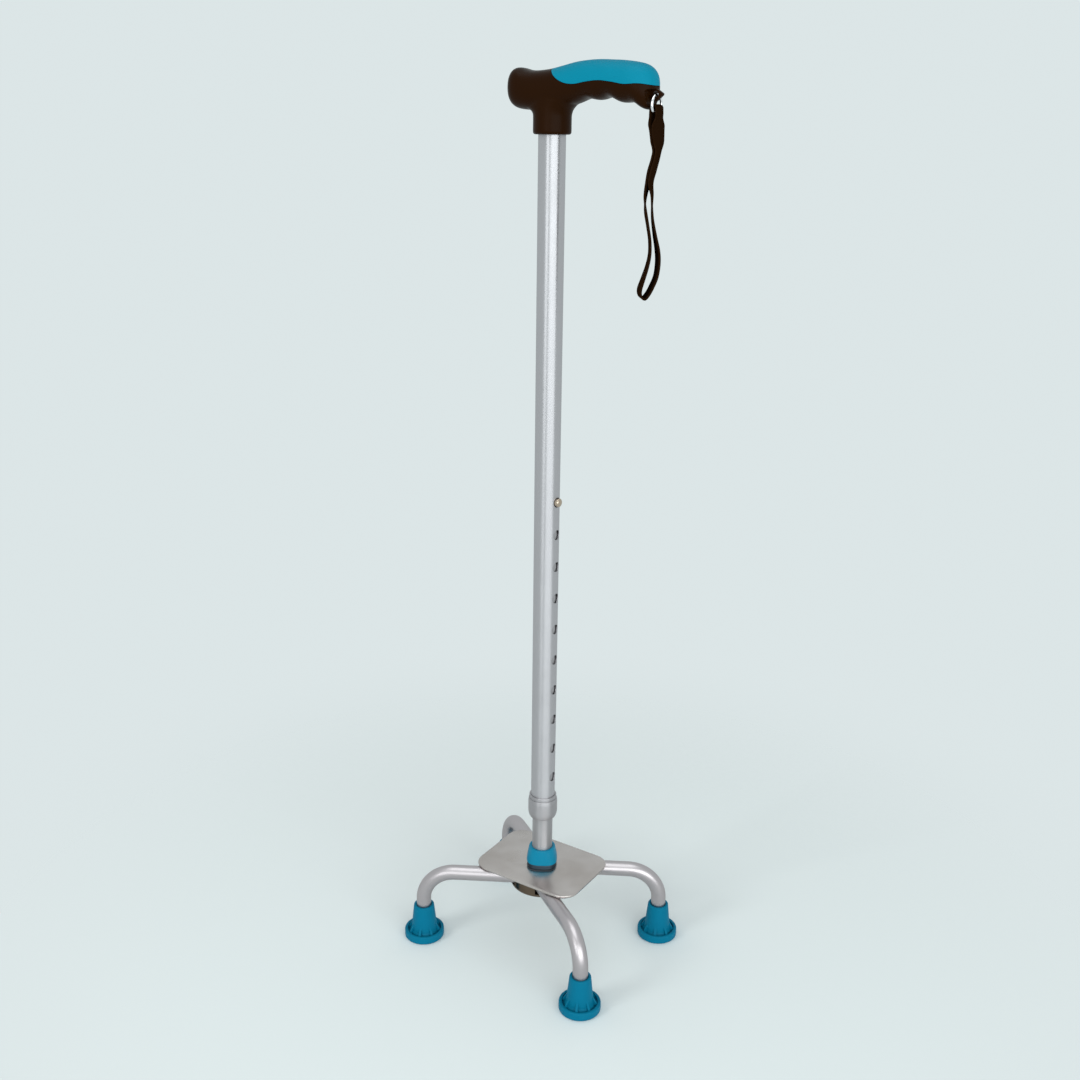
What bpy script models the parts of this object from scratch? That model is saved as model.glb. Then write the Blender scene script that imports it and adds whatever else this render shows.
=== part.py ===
# Quad cane: a T handle on a telescopic aluminium shaft, a locking collar and a
# small four-legged base. Metres, +Z up. The origin is on the floor, on the shaft's
# axis. The grip, the row of height holes and the long side of the base point to +X.

import math

import bmesh
import bpy
from mathutils import Matrix, Vector

# Clearance between neighbouring pieces, the distance at which points are merged,
# and the number of sides of round shapes and of steps around a rounded corner
GAP = 0.0003
MERGE_DISTANCE = 0.000001
TUBE_SIDES = 32
FOOT_SIDES = 24
SMALL_SIDES = 16
CORNER_STEPS = 4

# Rubber feet
FOOT_HALF_SPACING_X = 0.0783
FOOT_HALF_SPACING_Y = 0.0585
FOOT_HEIGHT = 0.0290
FOOT_RIM_DIAMETER = 0.0325
FOOT_RIM_HEIGHT = 0.0066
FOOT_RIM_WALL = 0.0026
FOOT_RIM_ROUNDING = 0.0014
FOOT_CONE_TOP_DIAMETER = 0.0166
FOOT_CONE_BASE_DIAMETER = 0.0202
FOOT_FLARE_DIAMETER = 0.0246
FOOT_TROUGH_Z = 0.0042
FOOT_FLOOR = 0.0060
FOOT_RIBS = 8
FOOT_RIB_WIDTH = 0.0018
FOOT_RIB_TOP_Z = 0.0116
FOOT_WASHER_THICKNESS = 0.0016
FOOT_WASHER_HOLE = 0.0050

# Bent legs
LEG_DIAMETER = 0.0120
LEG_WALL = 0.0012
LEG_BEND_RADIUS = 0.0260
LEG_MEETING_Y = 0.0100
LEG_MIDDLE_RADIUS = 0.0300
BEND_STEP = math.radians(15)

# Base plate, and what clamps it to the shaft
PLATE_UNDERSIDE_Z = 0.0668
PLATE_THICKNESS = 0.0020
PLATE_LENGTH = 0.0933
PLATE_WIDTH = 0.0680
PLATE_CORNER_RADIUS = 0.0135
PLATE_TURN = math.radians(2.5)
SOCKET_SIDE = 0.0240
SOCKET_HEIGHT = 0.0034
SOCKET_TURN = math.radians(33)
SQUARENESS = 2.9
SPIGOT_HEIGHT = 0.0240
CUP_DIAMETER = 0.0520
CUP_WALL = 0.0016
CUP_FLOOR_THICKNESS = 0.0034
CUP_CORNER_RADIUS = 0.0040
BOLT_DIAMETER = 0.0080
BOLT_HEAD_DIAMETER = 0.0142
BOLT_HEAD_HEIGHT = 0.0053
BOLT_IN_SPIGOT = 0.0160
LOCK_WASHER_DIAMETER = 0.0148
LOCK_WASHER_THICKNESS = 0.0020
SPACER_DIAMETER = 0.0130

# Ferrule, square below and round above
FERRULE_SIDE = 0.0250
FERRULE_HEIGHT = 0.0121
FERRULE_TOP_DIAMETER = 0.0214
FERRULE_EDGE = 0.0012

# Shaft
LOWER_TUBE_DIAMETER = 0.0163
LOWER_TUBE_WALL = 0.0014
UPPER_TUBE_DIAMETER = 0.01905
UPPER_TUBE_WALL = 0.0010
UPPER_TUBE_LENGTH = 0.5425
UPPER_TUBE_FOOT_Z = 0.1205
HOLE_COUNT = 10
HOLE_PITCH = 0.0254
HOLE_DIAMETER = 0.0076
LOWEST_HOLE_OFFSET = 0.0303

# Snap button with its V spring, and the bush above it
BUTTON_DIAMETER = 0.0066
BUTTON_STAND_OUT = 0.0029
BUTTON_DOME = 0.0014
CLIP_STRIP_WIDTH = 0.0060
CLIP_STRIP_THICKNESS = 0.0006
CLIP_LEAF_ABOVE = 0.0060
CLIP_LEAF_BELOW = 0.0320
CLIP_BEND_RADIUS = 0.0024
CLIP_BACK_LEAF_TOP = 0.0100
LOWER_TUBE_ABOVE_BUTTON = 0.0260
BUSH_PLUG_LENGTH = 0.0140
BUSH_CAP_THICKNESS = 0.0026
BUSH_HOLE_DIAMETER = 0.0060

# Locking collar
COLLAR_TOP_Z = 0.1330
COLLAR_GROOVE_Z = 0.1300
COLLAR_BAND_DIAMETER = 0.0217
COLLAR_BAND_EDGE = 0.0006
COLLAR_THREAD_DIAMETER = 0.0206
COLLAR_THREAD_LENGTH = 0.0095
NUT_TOP_DIAMETER = 0.0225
NUT_DIAMETER = 0.0234
NUT_TAPER = 0.0030
NUT_BOTTOM_Z = 0.1126
NUT_FLOOR = 0.0020
NUT_LIP_DIAMETER = 0.0180
NUT_ROUNDING = 0.0070
COLLET_WALL = 0.0011
COLLET_SLIT = 0.0014

# Handle: its socket stands on SOCKET_BOTTOM, and heights are counted from there
TUBE_IN_HANDLE = 0.0244
NECK_RADIUS = 0.0132
NECK_EDGE = 0.0016
GRIP_ROUNDNESS = 2.35
GRIP_SECTION_POINTS = 24
NECK_POINTS = 28
INLAY_THICKNESS = 0.0030
SCREW_HEIGHT = 0.0072
SCREW_DIAMETER = 0.0030
SCREW_LENGTH = 0.0075
SCREW_HEAD_DIAMETER = 0.0062
SCREW_HEAD_HEIGHT = 0.0016

# Stations of the grip from the nose to the end: place along X, underside, top, half width
GRIP_STATIONS = (
    (-0.0343, 0.0280, 0.0322, 0.0020),
    (-0.0336, 0.0238, 0.0368, 0.0054),
    (-0.0316, 0.0202, 0.0404, 0.0088),
    (-0.0285, 0.0178, 0.0429, 0.0118),
    (-0.0245, 0.0165, 0.0431, 0.0134),
    (-0.0180, 0.0159, 0.0416, 0.0140),
    (-0.0110, 0.0157, 0.0411, 0.0140),
    (0.0000, 0.0157, 0.0419, 0.0138),
    (0.0100, 0.0170, 0.0437, 0.0137),
    (0.0210, 0.0200, 0.0459, 0.0136),
    (0.0300, 0.0228, 0.0468, 0.0136),
    (0.0390, 0.0219, 0.0471, 0.0137),
    (0.0480, 0.0235, 0.0467, 0.0137),
    (0.0570, 0.0203, 0.0462, 0.0136),
    (0.0660, 0.0202, 0.0451, 0.0132),
    (0.0720, 0.0169, 0.0438, 0.0121),
    (0.0760, 0.0160, 0.0419, 0.0102),
    (0.0792, 0.0190, 0.0388, 0.0070),
    (0.0810, 0.0256, 0.0342, 0.0030),
)

# Stations of the neck from the socket's rim up: height, reach to -X, reach to +X
NECK_STATIONS = (
    (0.0118, 0.0132, 0.0132),
    (0.0136, 0.0136, 0.0136),
    (0.0149, 0.0146, 0.0141),
    (0.0160, 0.0164, 0.0148),
    (0.0170, 0.0184, 0.0157),
    (0.0186, 0.0186, 0.0176),
    (0.0200, 0.0180, 0.0198),
    (0.0214, 0.0172, 0.0226),
    (0.0240, 0.0150, 0.0220),
    (0.0280, 0.0100, 0.0120),
)

# Lower border of the inlay, seen from the side: place along X and height
INLAY_BORDER = (
    (0.0012, 0.0500),
    (0.0034, 0.0424),
    (0.0062, 0.0392),
    (0.0102, 0.0360),
    (0.0146, 0.0336),
    (0.0195, 0.0321),
    (0.0260, 0.0317),
    (0.0350, 0.0330),
    (0.0450, 0.0337),
    (0.0550, 0.0326),
    (0.0640, 0.0312),
    (0.0750, 0.0314),
    (0.0900, 0.0286),
)

# Lug for the ring, a wedge under the end of the grip
LUG_HOLE_X = 0.0812
LUG_HOLE_HEIGHT = 0.0254
LUG_HOLE_DIAMETER = 0.0038
LUG_THICKNESS = 0.0030
LUG_TIP_RADIUS = 0.0010
LUG_TIP = (0.0850, 0.0252)
LUG_TOP = ((0.0700, 0.0340), (0.0780, 0.0308))
LUG_BOTTOM = ((0.0812, 0.0208), (0.0700, 0.0206))

# Room for the ring under the overhanging end of the grip
RING_ROOM_X = 0.0773
RING_ROOM_TOP = 0.0282

# Ring and wrist strap
RING_WIRE = 0.0018
RING_WIRE_SIDES = 8
RING_DIAMETER = 0.0134
TAPE_THICKNESS = 0.0014
TAPE_WIDTH = 0.0145
TAPE_FOLD_WIDTH = 0.0086
TAPE_FOLD_RISE = 0.0030
TAPE_PLAY = 0.0007
TAPE_LAYER_GAP = 0.0004
TAPE_STEPS = 3

# Route of the tape below the ring: sideways shift of its middle, depth below the ring's
# lowest wire and turn about the vertical in degrees. The stem's two layers lie side by
# side, then one strand goes down and the other comes up.
STRAP_STEM = (
    (0.0009, 0.0100, -2),
    (0.0015, 0.0170, 4),
    (0.0014, 0.0225, 17),
    (0.0004, 0.0280, 18),
    (-0.0014, 0.0350, 17),
    (-0.0028, 0.0425, 20),
)
STRAP_DOWN = (
    (-0.0007, 0.0500, 27),
    (-0.0004, 0.0580, 31),
    (0.0003, 0.0660, 34),
    (0.0022, 0.0760, 38),
    (0.0042, 0.0850, 41),
    (0.0049, 0.0930, 41),
    (0.0040, 0.1020, 40),
    (0.0014, 0.1090, 40),
    (-0.0012, 0.1140, 40),
)
STRAP_UP = (
    (-0.0038, 0.1168, 40),
    (-0.0062, 0.1152, 40),
    (-0.0067, 0.1110, 40),
    (-0.0046, 0.1040, 38),
    (-0.0022, 0.0960, 36),
    (-0.0008, 0.0880, 35),
    (-0.0011, 0.0790, 35),
    (-0.0027, 0.0700, 35),
    (-0.0043, 0.0620, 35),
    (-0.0050, 0.0560, 31),
    (-0.0049, 0.0500, 25),
)

# Sizes that follow from the ones above
LEG_Z = PLATE_UNDERSIDE_Z - GAP - LEG_DIAMETER / 2
PLATE_TOP_Z = PLATE_UNDERSIDE_Z + PLATE_THICKNESS
SOCKET_FOOT_Z = PLATE_TOP_Z + GAP
SOCKET_TOP_Z = SOCKET_FOOT_Z + SOCKET_HEIGHT
LOWER_TUBE_FOOT_Z = SOCKET_TOP_Z + GAP
LOWER_TUBE_BORE = LOWER_TUBE_DIAMETER - 2 * LOWER_TUBE_WALL
UPPER_TUBE_BORE = UPPER_TUBE_DIAMETER - 2 * UPPER_TUBE_WALL
UPPER_TUBE_TOP_Z = UPPER_TUBE_FOOT_Z + UPPER_TUBE_LENGTH
LOWEST_HOLE_Z = UPPER_TUBE_FOOT_Z + LOWEST_HOLE_OFFSET
BUTTON_Z = LOWEST_HOLE_Z + (HOLE_COUNT - 1) * HOLE_PITCH
LOWER_TUBE_TOP_Z = BUTTON_Z + LOWER_TUBE_ABOVE_BUTTON
HANDLE_Z = UPPER_TUBE_TOP_Z - TUBE_IN_HANDLE
CUP_FLOOR_TOP_Z = LEG_Z - LEG_DIAMETER / 2 - GAP
CUP_FLOOR_Z = CUP_FLOOR_TOP_Z - CUP_FLOOR_THICKNESS
BOLT_HOLE = BOLT_DIAMETER + 2 * GAP
RING_RADIUS = (RING_DIAMETER - RING_WIRE) / 2
RING_INSIDE = RING_RADIUS - RING_WIRE / 2
RING_SAG = RING_INSIDE - math.sqrt(RING_INSIDE**2 - (LUG_THICKNESS / 2) ** 2)
RING_TOP_Z = HANDLE_Z + LUG_HOLE_HEIGHT - LUG_HOLE_DIAMETER / 2 + RING_SAG + RING_WIRE / 2 + GAP
RING_CENTRE_Z = RING_TOP_Z - RING_RADIUS
RING_LOW_Z = RING_CENTRE_Z - RING_RADIUS


def clear_scene():
    for old in list(bpy.data.objects):
        bpy.data.objects.remove(old, do_unlink=True)


def new_collection(name):
    group = bpy.data.collections.new(name)
    bpy.context.scene.collection.children.link(group)
    return group


def material(name, colour, roughness, metallic):
    mat = bpy.data.materials.new(name)
    mat.use_nodes = True
    shader = mat.node_tree.nodes["Principled BSDF"]
    shader.inputs["Base Color"].default_value = (*colour, 1.0)
    shader.inputs["Roughness"].default_value = roughness
    shader.inputs["Metallic"].default_value = metallic
    return mat


def add_part(name, mesh, mat, place=(0.0, 0.0, 0.0)):
    part = bpy.data.objects.new(name, mesh)
    part.location = place
    part.data.materials.clear()
    part.data.materials.append(mat)
    part.data.shade_smooth()
    part.data.set_sharp_from_angle(angle=math.radians(35))
    parts.objects.link(part)
    return part


def add_cutter(name, mesh, place=(0.0, 0.0, 0.0)):
    cutter = bpy.data.objects.new(name, mesh)
    cutter.location = place
    cutter.hide_render = True
    cutter.display_type = "WIRE"
    cutters.objects.link(cutter)
    return cutter


def boolean(part, cutter, operation="DIFFERENCE"):
    step = part.modifiers.new(cutter.name, "BOOLEAN")
    step.operation = operation
    step.solver = "EXACT"
    step.object = cutter


def turned_mesh(name, profile, sides=TUBE_SIDES):
    """A closed outline of (radius, height) points, turned about Z by a Screw modifier."""
    outline = bpy.data.meshes.new(name)
    count = len(profile)
    outline.from_pydata([(r, 0.0, z) for r, z in profile], [(k, (k + 1) % count) for k in range(count)], [])
    carrier = bpy.data.objects.new(name, outline)
    screw = carrier.modifiers.new("turn", "SCREW")
    screw.axis = "Z"
    screw.steps = screw.render_steps = sides
    screw.use_merge_vertices = True
    screw.merge_threshold = MERGE_DISTANCE
    return evaluated_mesh(carrier, name)


def to_mesh(bm, name):
    mesh = bpy.data.meshes.new(name)
    bm.to_mesh(mesh)
    bm.free()
    return mesh


def tube_mesh(name, outer, bore, low, high, sides=TUBE_SIDES):
    return turned_mesh(
        name,
        [(outer / 2, low), (outer / 2, high), (bore / 2, high), (bore / 2, low)],
        sides,
    )


def rod_mesh(name, diameter, length, sides=SMALL_SIDES, axis="Z"):
    """A plain cylinder from the origin along +Z or +X."""
    bm = bmesh.new()
    bmesh.ops.create_cone(
        bm,
        cap_ends=True,
        segments=sides,
        radius1=diameter / 2,
        radius2=diameter / 2,
        depth=length,
        matrix=Matrix.Translation((0.0, 0.0, length / 2)),
    )
    if axis == "X":
        bm.transform(Matrix.Rotation(math.pi / 2, 4, "Y"))
    if axis == "Y":
        bm.transform(Matrix.Rotation(-math.pi / 2, 4, "X"))
    return to_mesh(bm, name)


def loft_mesh(name, rings, closed_along=False):
    """Faces between rings of points with equal counts, with flat ends unless the loft closes."""
    bm = bmesh.new()
    loops = [[bm.verts.new(point) for point in ring] for ring in rings]
    pairs = list(zip(loops, loops[1:] + loops[:1])) if closed_along else list(zip(loops, loops[1:]))
    for lower, upper in pairs:
        count = len(lower)
        for i in range(count):
            j = (i + 1) % count
            bm.faces.new((lower[i], lower[j], upper[j], upper[i]))
    if not closed_along:
        bm.faces.new(loops[0])
        bm.faces.new(loops[-1])
    bmesh.ops.recalc_face_normals(bm, faces=bm.faces)
    return to_mesh(bm, name)


def rounded_rectangle(length, width, radius, per_corner=6):
    """Corner points of a rectangle with round corners, anticlockwise about the origin."""
    points = []
    for quarter, (sx, sy) in enumerate(((1, 1), (-1, 1), (-1, -1), (1, -1))):
        for k in range(per_corner + 1):
            turn = math.pi / 2 * (quarter + k / per_corner)
            points.append(
                (
                    sx * (length / 2 - radius) + radius * math.cos(turn),
                    sy * (width / 2 - radius) + radius * math.sin(turn),
                )
            )
    return points


def soft_square_reach(side, turn):
    """Distance from the middle of a square with soft corners to its edge."""
    spread = abs(math.cos(turn)) ** SQUARENESS + abs(math.sin(turn)) ** SQUARENESS
    return side / 2 / spread ** (1 / SQUARENESS)


def square_to_round(side, diameter, share, shrink, z):
    """A ring of points between a soft square, at share 0, and a circle, at share 1."""
    ring = []
    for k in range(TUBE_SIDES):
        turn = math.tau * k / TUBE_SIDES
        square = soft_square_reach(side, turn)
        reach = square + (diameter / 2 - square) * share - shrink
        ring.append((reach * math.cos(turn + SOCKET_TURN), reach * math.sin(turn + SOCKET_TURN), z))
    return ring


def plate_curve_mesh(name, outline, thickness, holes=()):
    """A flat outline with round holes, as a filled 2D curve of the given thickness."""
    curve = bpy.data.curves.new(name, "CURVE")
    curve.dimensions = "2D"
    curve.fill_mode = "BOTH"
    curve.extrude = thickness / 2
    loops = [outline]
    for x, y, diameter in holes:
        turns = [math.tau * k / SMALL_SIDES for k in range(SMALL_SIDES)]
        loops.append([(x + diameter / 2 * math.cos(t), y + diameter / 2 * math.sin(t)) for t in turns])
    for loop in loops:
        spline = curve.splines.new("POLY")
        spline.points.add(len(loop) - 1)
        for point, (x, y) in zip(spline.points, loop):
            point.co = (x, y, 0.0, 1.0)
        spline.use_cyclic_u = True
    return evaluated_mesh(bpy.data.objects.new(name, curve), name)


def evaluated_mesh(carrier, name):
    """The surface that a curve or a modifier makes, with its loose seams and caps welded."""
    bpy.context.scene.collection.objects.link(carrier)
    graph = bpy.context.evaluated_depsgraph_get()
    mesh = bpy.data.meshes.new_from_object(carrier.evaluated_get(graph))
    bpy.data.objects.remove(carrier, do_unlink=True)
    bm = bmesh.new()
    bm.from_mesh(mesh)
    bmesh.ops.remove_doubles(bm, verts=bm.verts, dist=MERGE_DISTANCE)
    bmesh.ops.recalc_face_normals(bm, faces=bm.faces)
    bm.to_mesh(mesh)
    bm.free()
    mesh.name = name
    return mesh


def smooth_path(points, steps):
    """Points of a curve that runs smoothly through the given ones (Catmull-Rom)."""
    points = [Vector(p) for p in points]
    ends = [2 * points[0] - points[1]] + points + [2 * points[-1] - points[-2]]
    path = []
    for p0, p1, p2, p3 in zip(ends, ends[1:], ends[2:], ends[3:]):
        for k in range(steps):
            t = k / steps
            path.append(
                0.5
                * (
                    2 * p1
                    + (p2 - p0) * t
                    + (2 * p0 - 5 * p1 + 4 * p2 - p3) * t * t
                    + (3 * p1 - p0 - 3 * p2 + p3) * t**3
                )
            )
    return path + [points[-1]]


def make_feet():
    """Rubber tips with a rim, a trough and ribs, and the washer inside each."""
    bore = LEG_DIAMETER + 2 * GAP
    flare_start = FOOT_CONE_BASE_DIAMETER / 2
    flare_end = FOOT_FLARE_DIAMETER / 2
    rim_outer = FOOT_RIM_DIAMETER / 2
    rim_inner = rim_outer - FOOT_RIM_WALL
    bend = FOOT_RIM_ROUNDING
    profile = [
        (bore / 2, FOOT_HEIGHT),
        (FOOT_CONE_TOP_DIAMETER / 2 - 0.0006, FOOT_HEIGHT),
        (FOOT_CONE_TOP_DIAMETER / 2, FOOT_HEIGHT - 0.0008),
        (flare_start, FOOT_RIB_TOP_Z),
        (
            flare_start + 0.35 * (flare_end - flare_start),
            FOOT_TROUGH_Z + 0.40 * (FOOT_RIB_TOP_Z - FOOT_TROUGH_Z),
        ),
        (flare_end, FOOT_TROUGH_Z),
        (rim_inner, FOOT_TROUGH_Z),
        (rim_inner, FOOT_RIM_HEIGHT - 0.0004),
        (rim_inner + 0.0004, FOOT_RIM_HEIGHT),
        (rim_outer - bend, FOOT_RIM_HEIGHT),
        (rim_outer - 0.3 * bend, FOOT_RIM_HEIGHT - 0.3 * bend),
        (rim_outer, FOOT_RIM_HEIGHT - bend),
        (rim_outer, bend),
        (rim_outer - 0.3 * bend, 0.3 * bend),
        (rim_outer - bend, 0.0),
        (0.0, 0.0),
        (0.0, FOOT_FLOOR),
        (bore / 2, FOOT_FLOOR),
    ]
    body = turned_mesh("foot_tip", profile, FOOT_SIDES)
    rib = rib_mesh(rim_inner)
    washer = tube_mesh(
        "foot_washer",
        LEG_DIAMETER,
        FOOT_WASHER_HOLE,
        FOOT_FLOOR + GAP,
        FOOT_FLOOR + GAP + FOOT_WASHER_THICKNESS,
        SMALL_SIDES,
    )
    for name, sx, sy in FOOT_PLACES:
        place = (sx * FOOT_HALF_SPACING_X, sy * FOOT_HALF_SPACING_Y, 0.0)
        tip = add_part("foot_tip_" + name, body.copy(), teal_rubber, place)
        for k in range(FOOT_RIBS):
            cutter = add_cutter("foot_rib_%s_%d" % (name, k), rib, place)
            cutter.rotation_euler = (0.0, 0.0, math.tau * (k + 0.5) / FOOT_RIBS)
            boolean(tip, cutter, "UNION")
        add_part("foot_washer_" + name, washer.copy(), steel, place)


def rib_mesh(rim_inner):
    """One buttress between the cone and the rim, along +X."""
    sunk = 0.0010
    cone_at_rib = FOOT_CONE_BASE_DIAMETER / 2
    side = [
        (cone_at_rib - sunk, FOOT_RIB_TOP_Z),
        (cone_at_rib + 0.0004, FOOT_RIB_TOP_Z),
        (rim_inner - 0.0004, FOOT_RIM_HEIGHT - 0.0012),
        (rim_inner + sunk, FOOT_RIM_HEIGHT - 0.0012),
        (rim_inner + sunk, FOOT_TROUGH_Z - sunk),
        (cone_at_rib - sunk, FOOT_TROUGH_Z - sunk),
    ]
    rings = [[(x, y, z) for x, z in side] for y in (-FOOT_RIB_WIDTH / 2, FOOT_RIB_WIDTH / 2)]
    return loft_mesh("foot_rib", rings)


def leg_path(side):
    """Middle line of one leg tube, from its left foot to its right one, on the given side in Y."""
    foot = Vector((FOOT_HALF_SPACING_X, FOOT_HALF_SPACING_Y, 0.0))
    inward = Vector((-FOOT_HALF_SPACING_X, LEG_MEETING_Y - FOOT_HALF_SPACING_Y, 0.0)).normalized()
    up = Vector((0.0, 0.0, 1.0))
    end_z = FOOT_FLOOR + FOOT_WASHER_THICKNESS + 2 * GAP
    half = [foot + up * end_z]
    steps = max(2, round(math.pi / 2 / BEND_STEP))
    centre = foot + inward * LEG_BEND_RADIUS + up * (LEG_Z - LEG_BEND_RADIUS)
    for k in range(steps + 1):
        turn = math.pi / 2 * k / steps
        half.append(centre - inward * LEG_BEND_RADIUS * math.cos(turn) + up * LEG_BEND_RADIUS * math.sin(turn))
    slope = math.atan2(-inward.y, -inward.x)
    middle = Vector((0.0, LEG_MEETING_Y + LEG_MIDDLE_RADIUS / math.cos(slope), LEG_Z))
    arc = []
    middle_steps = max(2, round(slope / BEND_STEP))
    for k in range(middle_steps + 1):
        turn = slope * (1 - k / middle_steps)
        arc.append(middle + LEG_MIDDLE_RADIUS * Vector((math.sin(turn), -math.cos(turn), 0.0)))
    half += arc
    other = [Vector((-p.x, p.y, p.z)) for p in reversed(half[:-1])]
    return [Vector((p.x, side * p.y, p.z)) for p in half + other]


def bent_tube_mesh(name, path, diameter):
    """A round rod along a path, with flat ends."""
    curve = bpy.data.curves.new(name, "CURVE")
    curve.dimensions = "3D"
    curve.bevel_depth = diameter / 2
    curve.bevel_resolution = 4
    curve.use_fill_caps = True
    spline = curve.splines.new("POLY")
    spline.points.add(len(path) - 1)
    for point, place in zip(spline.points, path):
        point.co = (*place, 1.0)
    return evaluated_mesh(bpy.data.objects.new(name, curve), name)


def make_legs():
    """Two hollow tubes back to back, each a bent rod with its bore cut out."""
    for name, side in (("front_leg_tube", -1), ("rear_leg_tube", 1)):
        path = leg_path(side)
        leg = add_part(name, bent_tube_mesh(name, path, LEG_DIAMETER), aluminium)
        past_end = Vector((0.0, 0.0, -LEG_WALL))
        long_path = [path[0] + past_end, *path[1:-1], path[-1] + past_end]
        bore = bent_tube_mesh(name + "_bore", long_path, LEG_DIAMETER - 2 * LEG_WALL)
        boolean(leg, add_cutter(name + "_bore", bore))


def make_plate():
    outline = rounded_rectangle(PLATE_LENGTH, PLATE_WIDTH, PLATE_CORNER_RADIUS)
    mesh = plate_curve_mesh("base_plate", outline, PLATE_THICKNESS, [(0.0, 0.0, BOLT_HOLE)])
    mesh.transform(Matrix.Rotation(PLATE_TURN, 4, "Z"))
    add_part("base_plate", mesh, plate_steel, (0.0, 0.0, PLATE_UNDERSIDE_Z + PLATE_THICKNESS / 2))


def make_socket():
    """Square steel foot with a round spigot inside the lower tube, drilled for the bolt."""
    rings = [square_to_round(SOCKET_SIDE, SOCKET_SIDE, 0.0, 0.0, z) for z in (SOCKET_FOOT_Z, SOCKET_TOP_Z)]
    block = add_part("base_socket", loft_mesh("base_socket", rings), steel)
    spigot = rod_mesh("base_spigot", LOWER_TUBE_BORE - 2 * GAP, SOCKET_HEIGHT / 2 + SPIGOT_HEIGHT, TUBE_SIDES)
    boolean(block, add_cutter("base_spigot", spigot, (0.0, 0.0, SOCKET_TOP_Z - SOCKET_HEIGHT / 2)), "UNION")
    drill = rod_mesh("base_socket_bore", BOLT_HOLE, SOCKET_HEIGHT + 2 * SPIGOT_HEIGHT)
    boolean(block, add_cutter("base_socket_bore", drill, (0.0, 0.0, SOCKET_FOOT_Z - SOCKET_HEIGHT)))


def make_cup():
    """Round steel cup that holds the legs up against the plate, notched where they pass."""
    outer = CUP_DIAMETER / 2
    top = PLATE_UNDERSIDE_Z - GAP
    corner = CUP_CORNER_RADIUS
    profile = [(outer - CUP_WALL, top), (outer, top)]
    for k in range(CORNER_STEPS + 1):
        turn = math.pi / 2 * k / CORNER_STEPS
        profile.append(
            (outer - corner + corner * math.cos(turn), CUP_FLOOR_Z + corner - corner * math.sin(turn))
        )
    profile += [(BOLT_HOLE / 2, CUP_FLOOR_Z), (BOLT_HOLE / 2, CUP_FLOOR_TOP_Z)]
    inner = corner - CUP_WALL
    for k in range(CORNER_STEPS, -1, -1):
        turn = math.pi / 2 * k / CORNER_STEPS
        profile.append(
            (outer - corner + inner * math.cos(turn), CUP_FLOOR_TOP_Z + inner - inner * math.sin(turn))
        )
    cup = add_part("base_cup", turned_mesh("base_cup", profile), steel)
    for name, side in (("front", -1), ("rear", 1)):
        boolean(cup, add_cutter("cup_notch_" + name, leg_notch_mesh(side)))


def leg_notch_mesh(side):
    """Room for one leg tube in the cup's wall: the tube's path with a square section."""
    half = LEG_DIAMETER / 2 + GAP
    path = [p for p in leg_path(side) if abs(p.z - LEG_Z) < 1e-6]
    rings = []
    for k, point in enumerate(path):
        before, after = path[max(k - 1, 0)], path[min(k + 1, len(path) - 1)]
        along = (after - before).normalized()
        across = Vector((-along.y, along.x, 0.0))
        low, high = LEG_Z - half + 2 * GAP / 3, PLATE_UNDERSIDE_Z + PLATE_THICKNESS
        rings.append(
            [
                (*(point + across * half).xy, low),
                (*(point - across * half).xy, low),
                (*(point - across * half).xy, high),
                (*(point + across * half).xy, high),
            ]
        )
    return loft_mesh("cup_notch", rings)


def make_clamp():
    """Bolt, lock washer and spacer between the cup and the plate."""
    washer_top = CUP_FLOOR_Z - GAP
    washer_low = washer_top - LOCK_WASHER_THICKNESS
    add_part(
        "lock_washer",
        tube_mesh("lock_washer", LOCK_WASHER_DIAMETER, BOLT_HOLE, washer_low, washer_top, SMALL_SIDES),
        steel,
    )
    add_part(
        "base_spacer",
        tube_mesh(
            "base_spacer", SPACER_DIAMETER, BOLT_HOLE, CUP_FLOOR_TOP_Z + GAP, PLATE_UNDERSIDE_Z - GAP, SMALL_SIDES
        ),
        steel,
    )
    head_low = washer_low - GAP - BOLT_HEAD_HEIGHT
    shank_low = head_low + BOLT_HEAD_HEIGHT / 2
    shank = rod_mesh("base_bolt", BOLT_DIAMETER, SOCKET_TOP_Z + BOLT_IN_SPIGOT - shank_low)
    bolt = add_part("base_bolt", shank, steel, (0.0, 0.0, shank_low))
    head = rod_mesh("bolt_head", BOLT_HEAD_DIAMETER, BOLT_HEAD_HEIGHT, 6)
    boolean(bolt, add_cutter("bolt_head", head, (0.0, 0.0, head_low)), "UNION")


def make_ferrule():
    """Teal moulding between the square stub and the round tube."""
    low = LOWER_TUBE_FOOT_Z
    shoulder = low + FERRULE_HEIGHT - FERRULE_EDGE
    rings = []
    for share in (0.0, 0.3, 0.65, 0.95, 1.0):
        z = low + (shoulder - low) * share
        rings.append(square_to_round(FERRULE_SIDE, FERRULE_TOP_DIAMETER, share, 0.0, z))
    for turn in (math.radians(45), math.radians(80)):
        drop = FERRULE_EDGE * (1 - math.cos(turn))
        rise = FERRULE_EDGE * math.sin(turn)
        rings.append(square_to_round(FERRULE_SIDE, FERRULE_TOP_DIAMETER, 1.0, drop, shoulder + rise))
    ferrule = add_part("base_ferrule", loft_mesh("base_ferrule", rings), teal_plastic)
    bore = rod_mesh("ferrule_bore", LOWER_TUBE_DIAMETER + 2 * GAP, 3 * FERRULE_HEIGHT, TUBE_SIDES)
    boolean(ferrule, add_cutter("ferrule_bore", bore, (0.0, 0.0, low - FERRULE_HEIGHT)))


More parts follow.
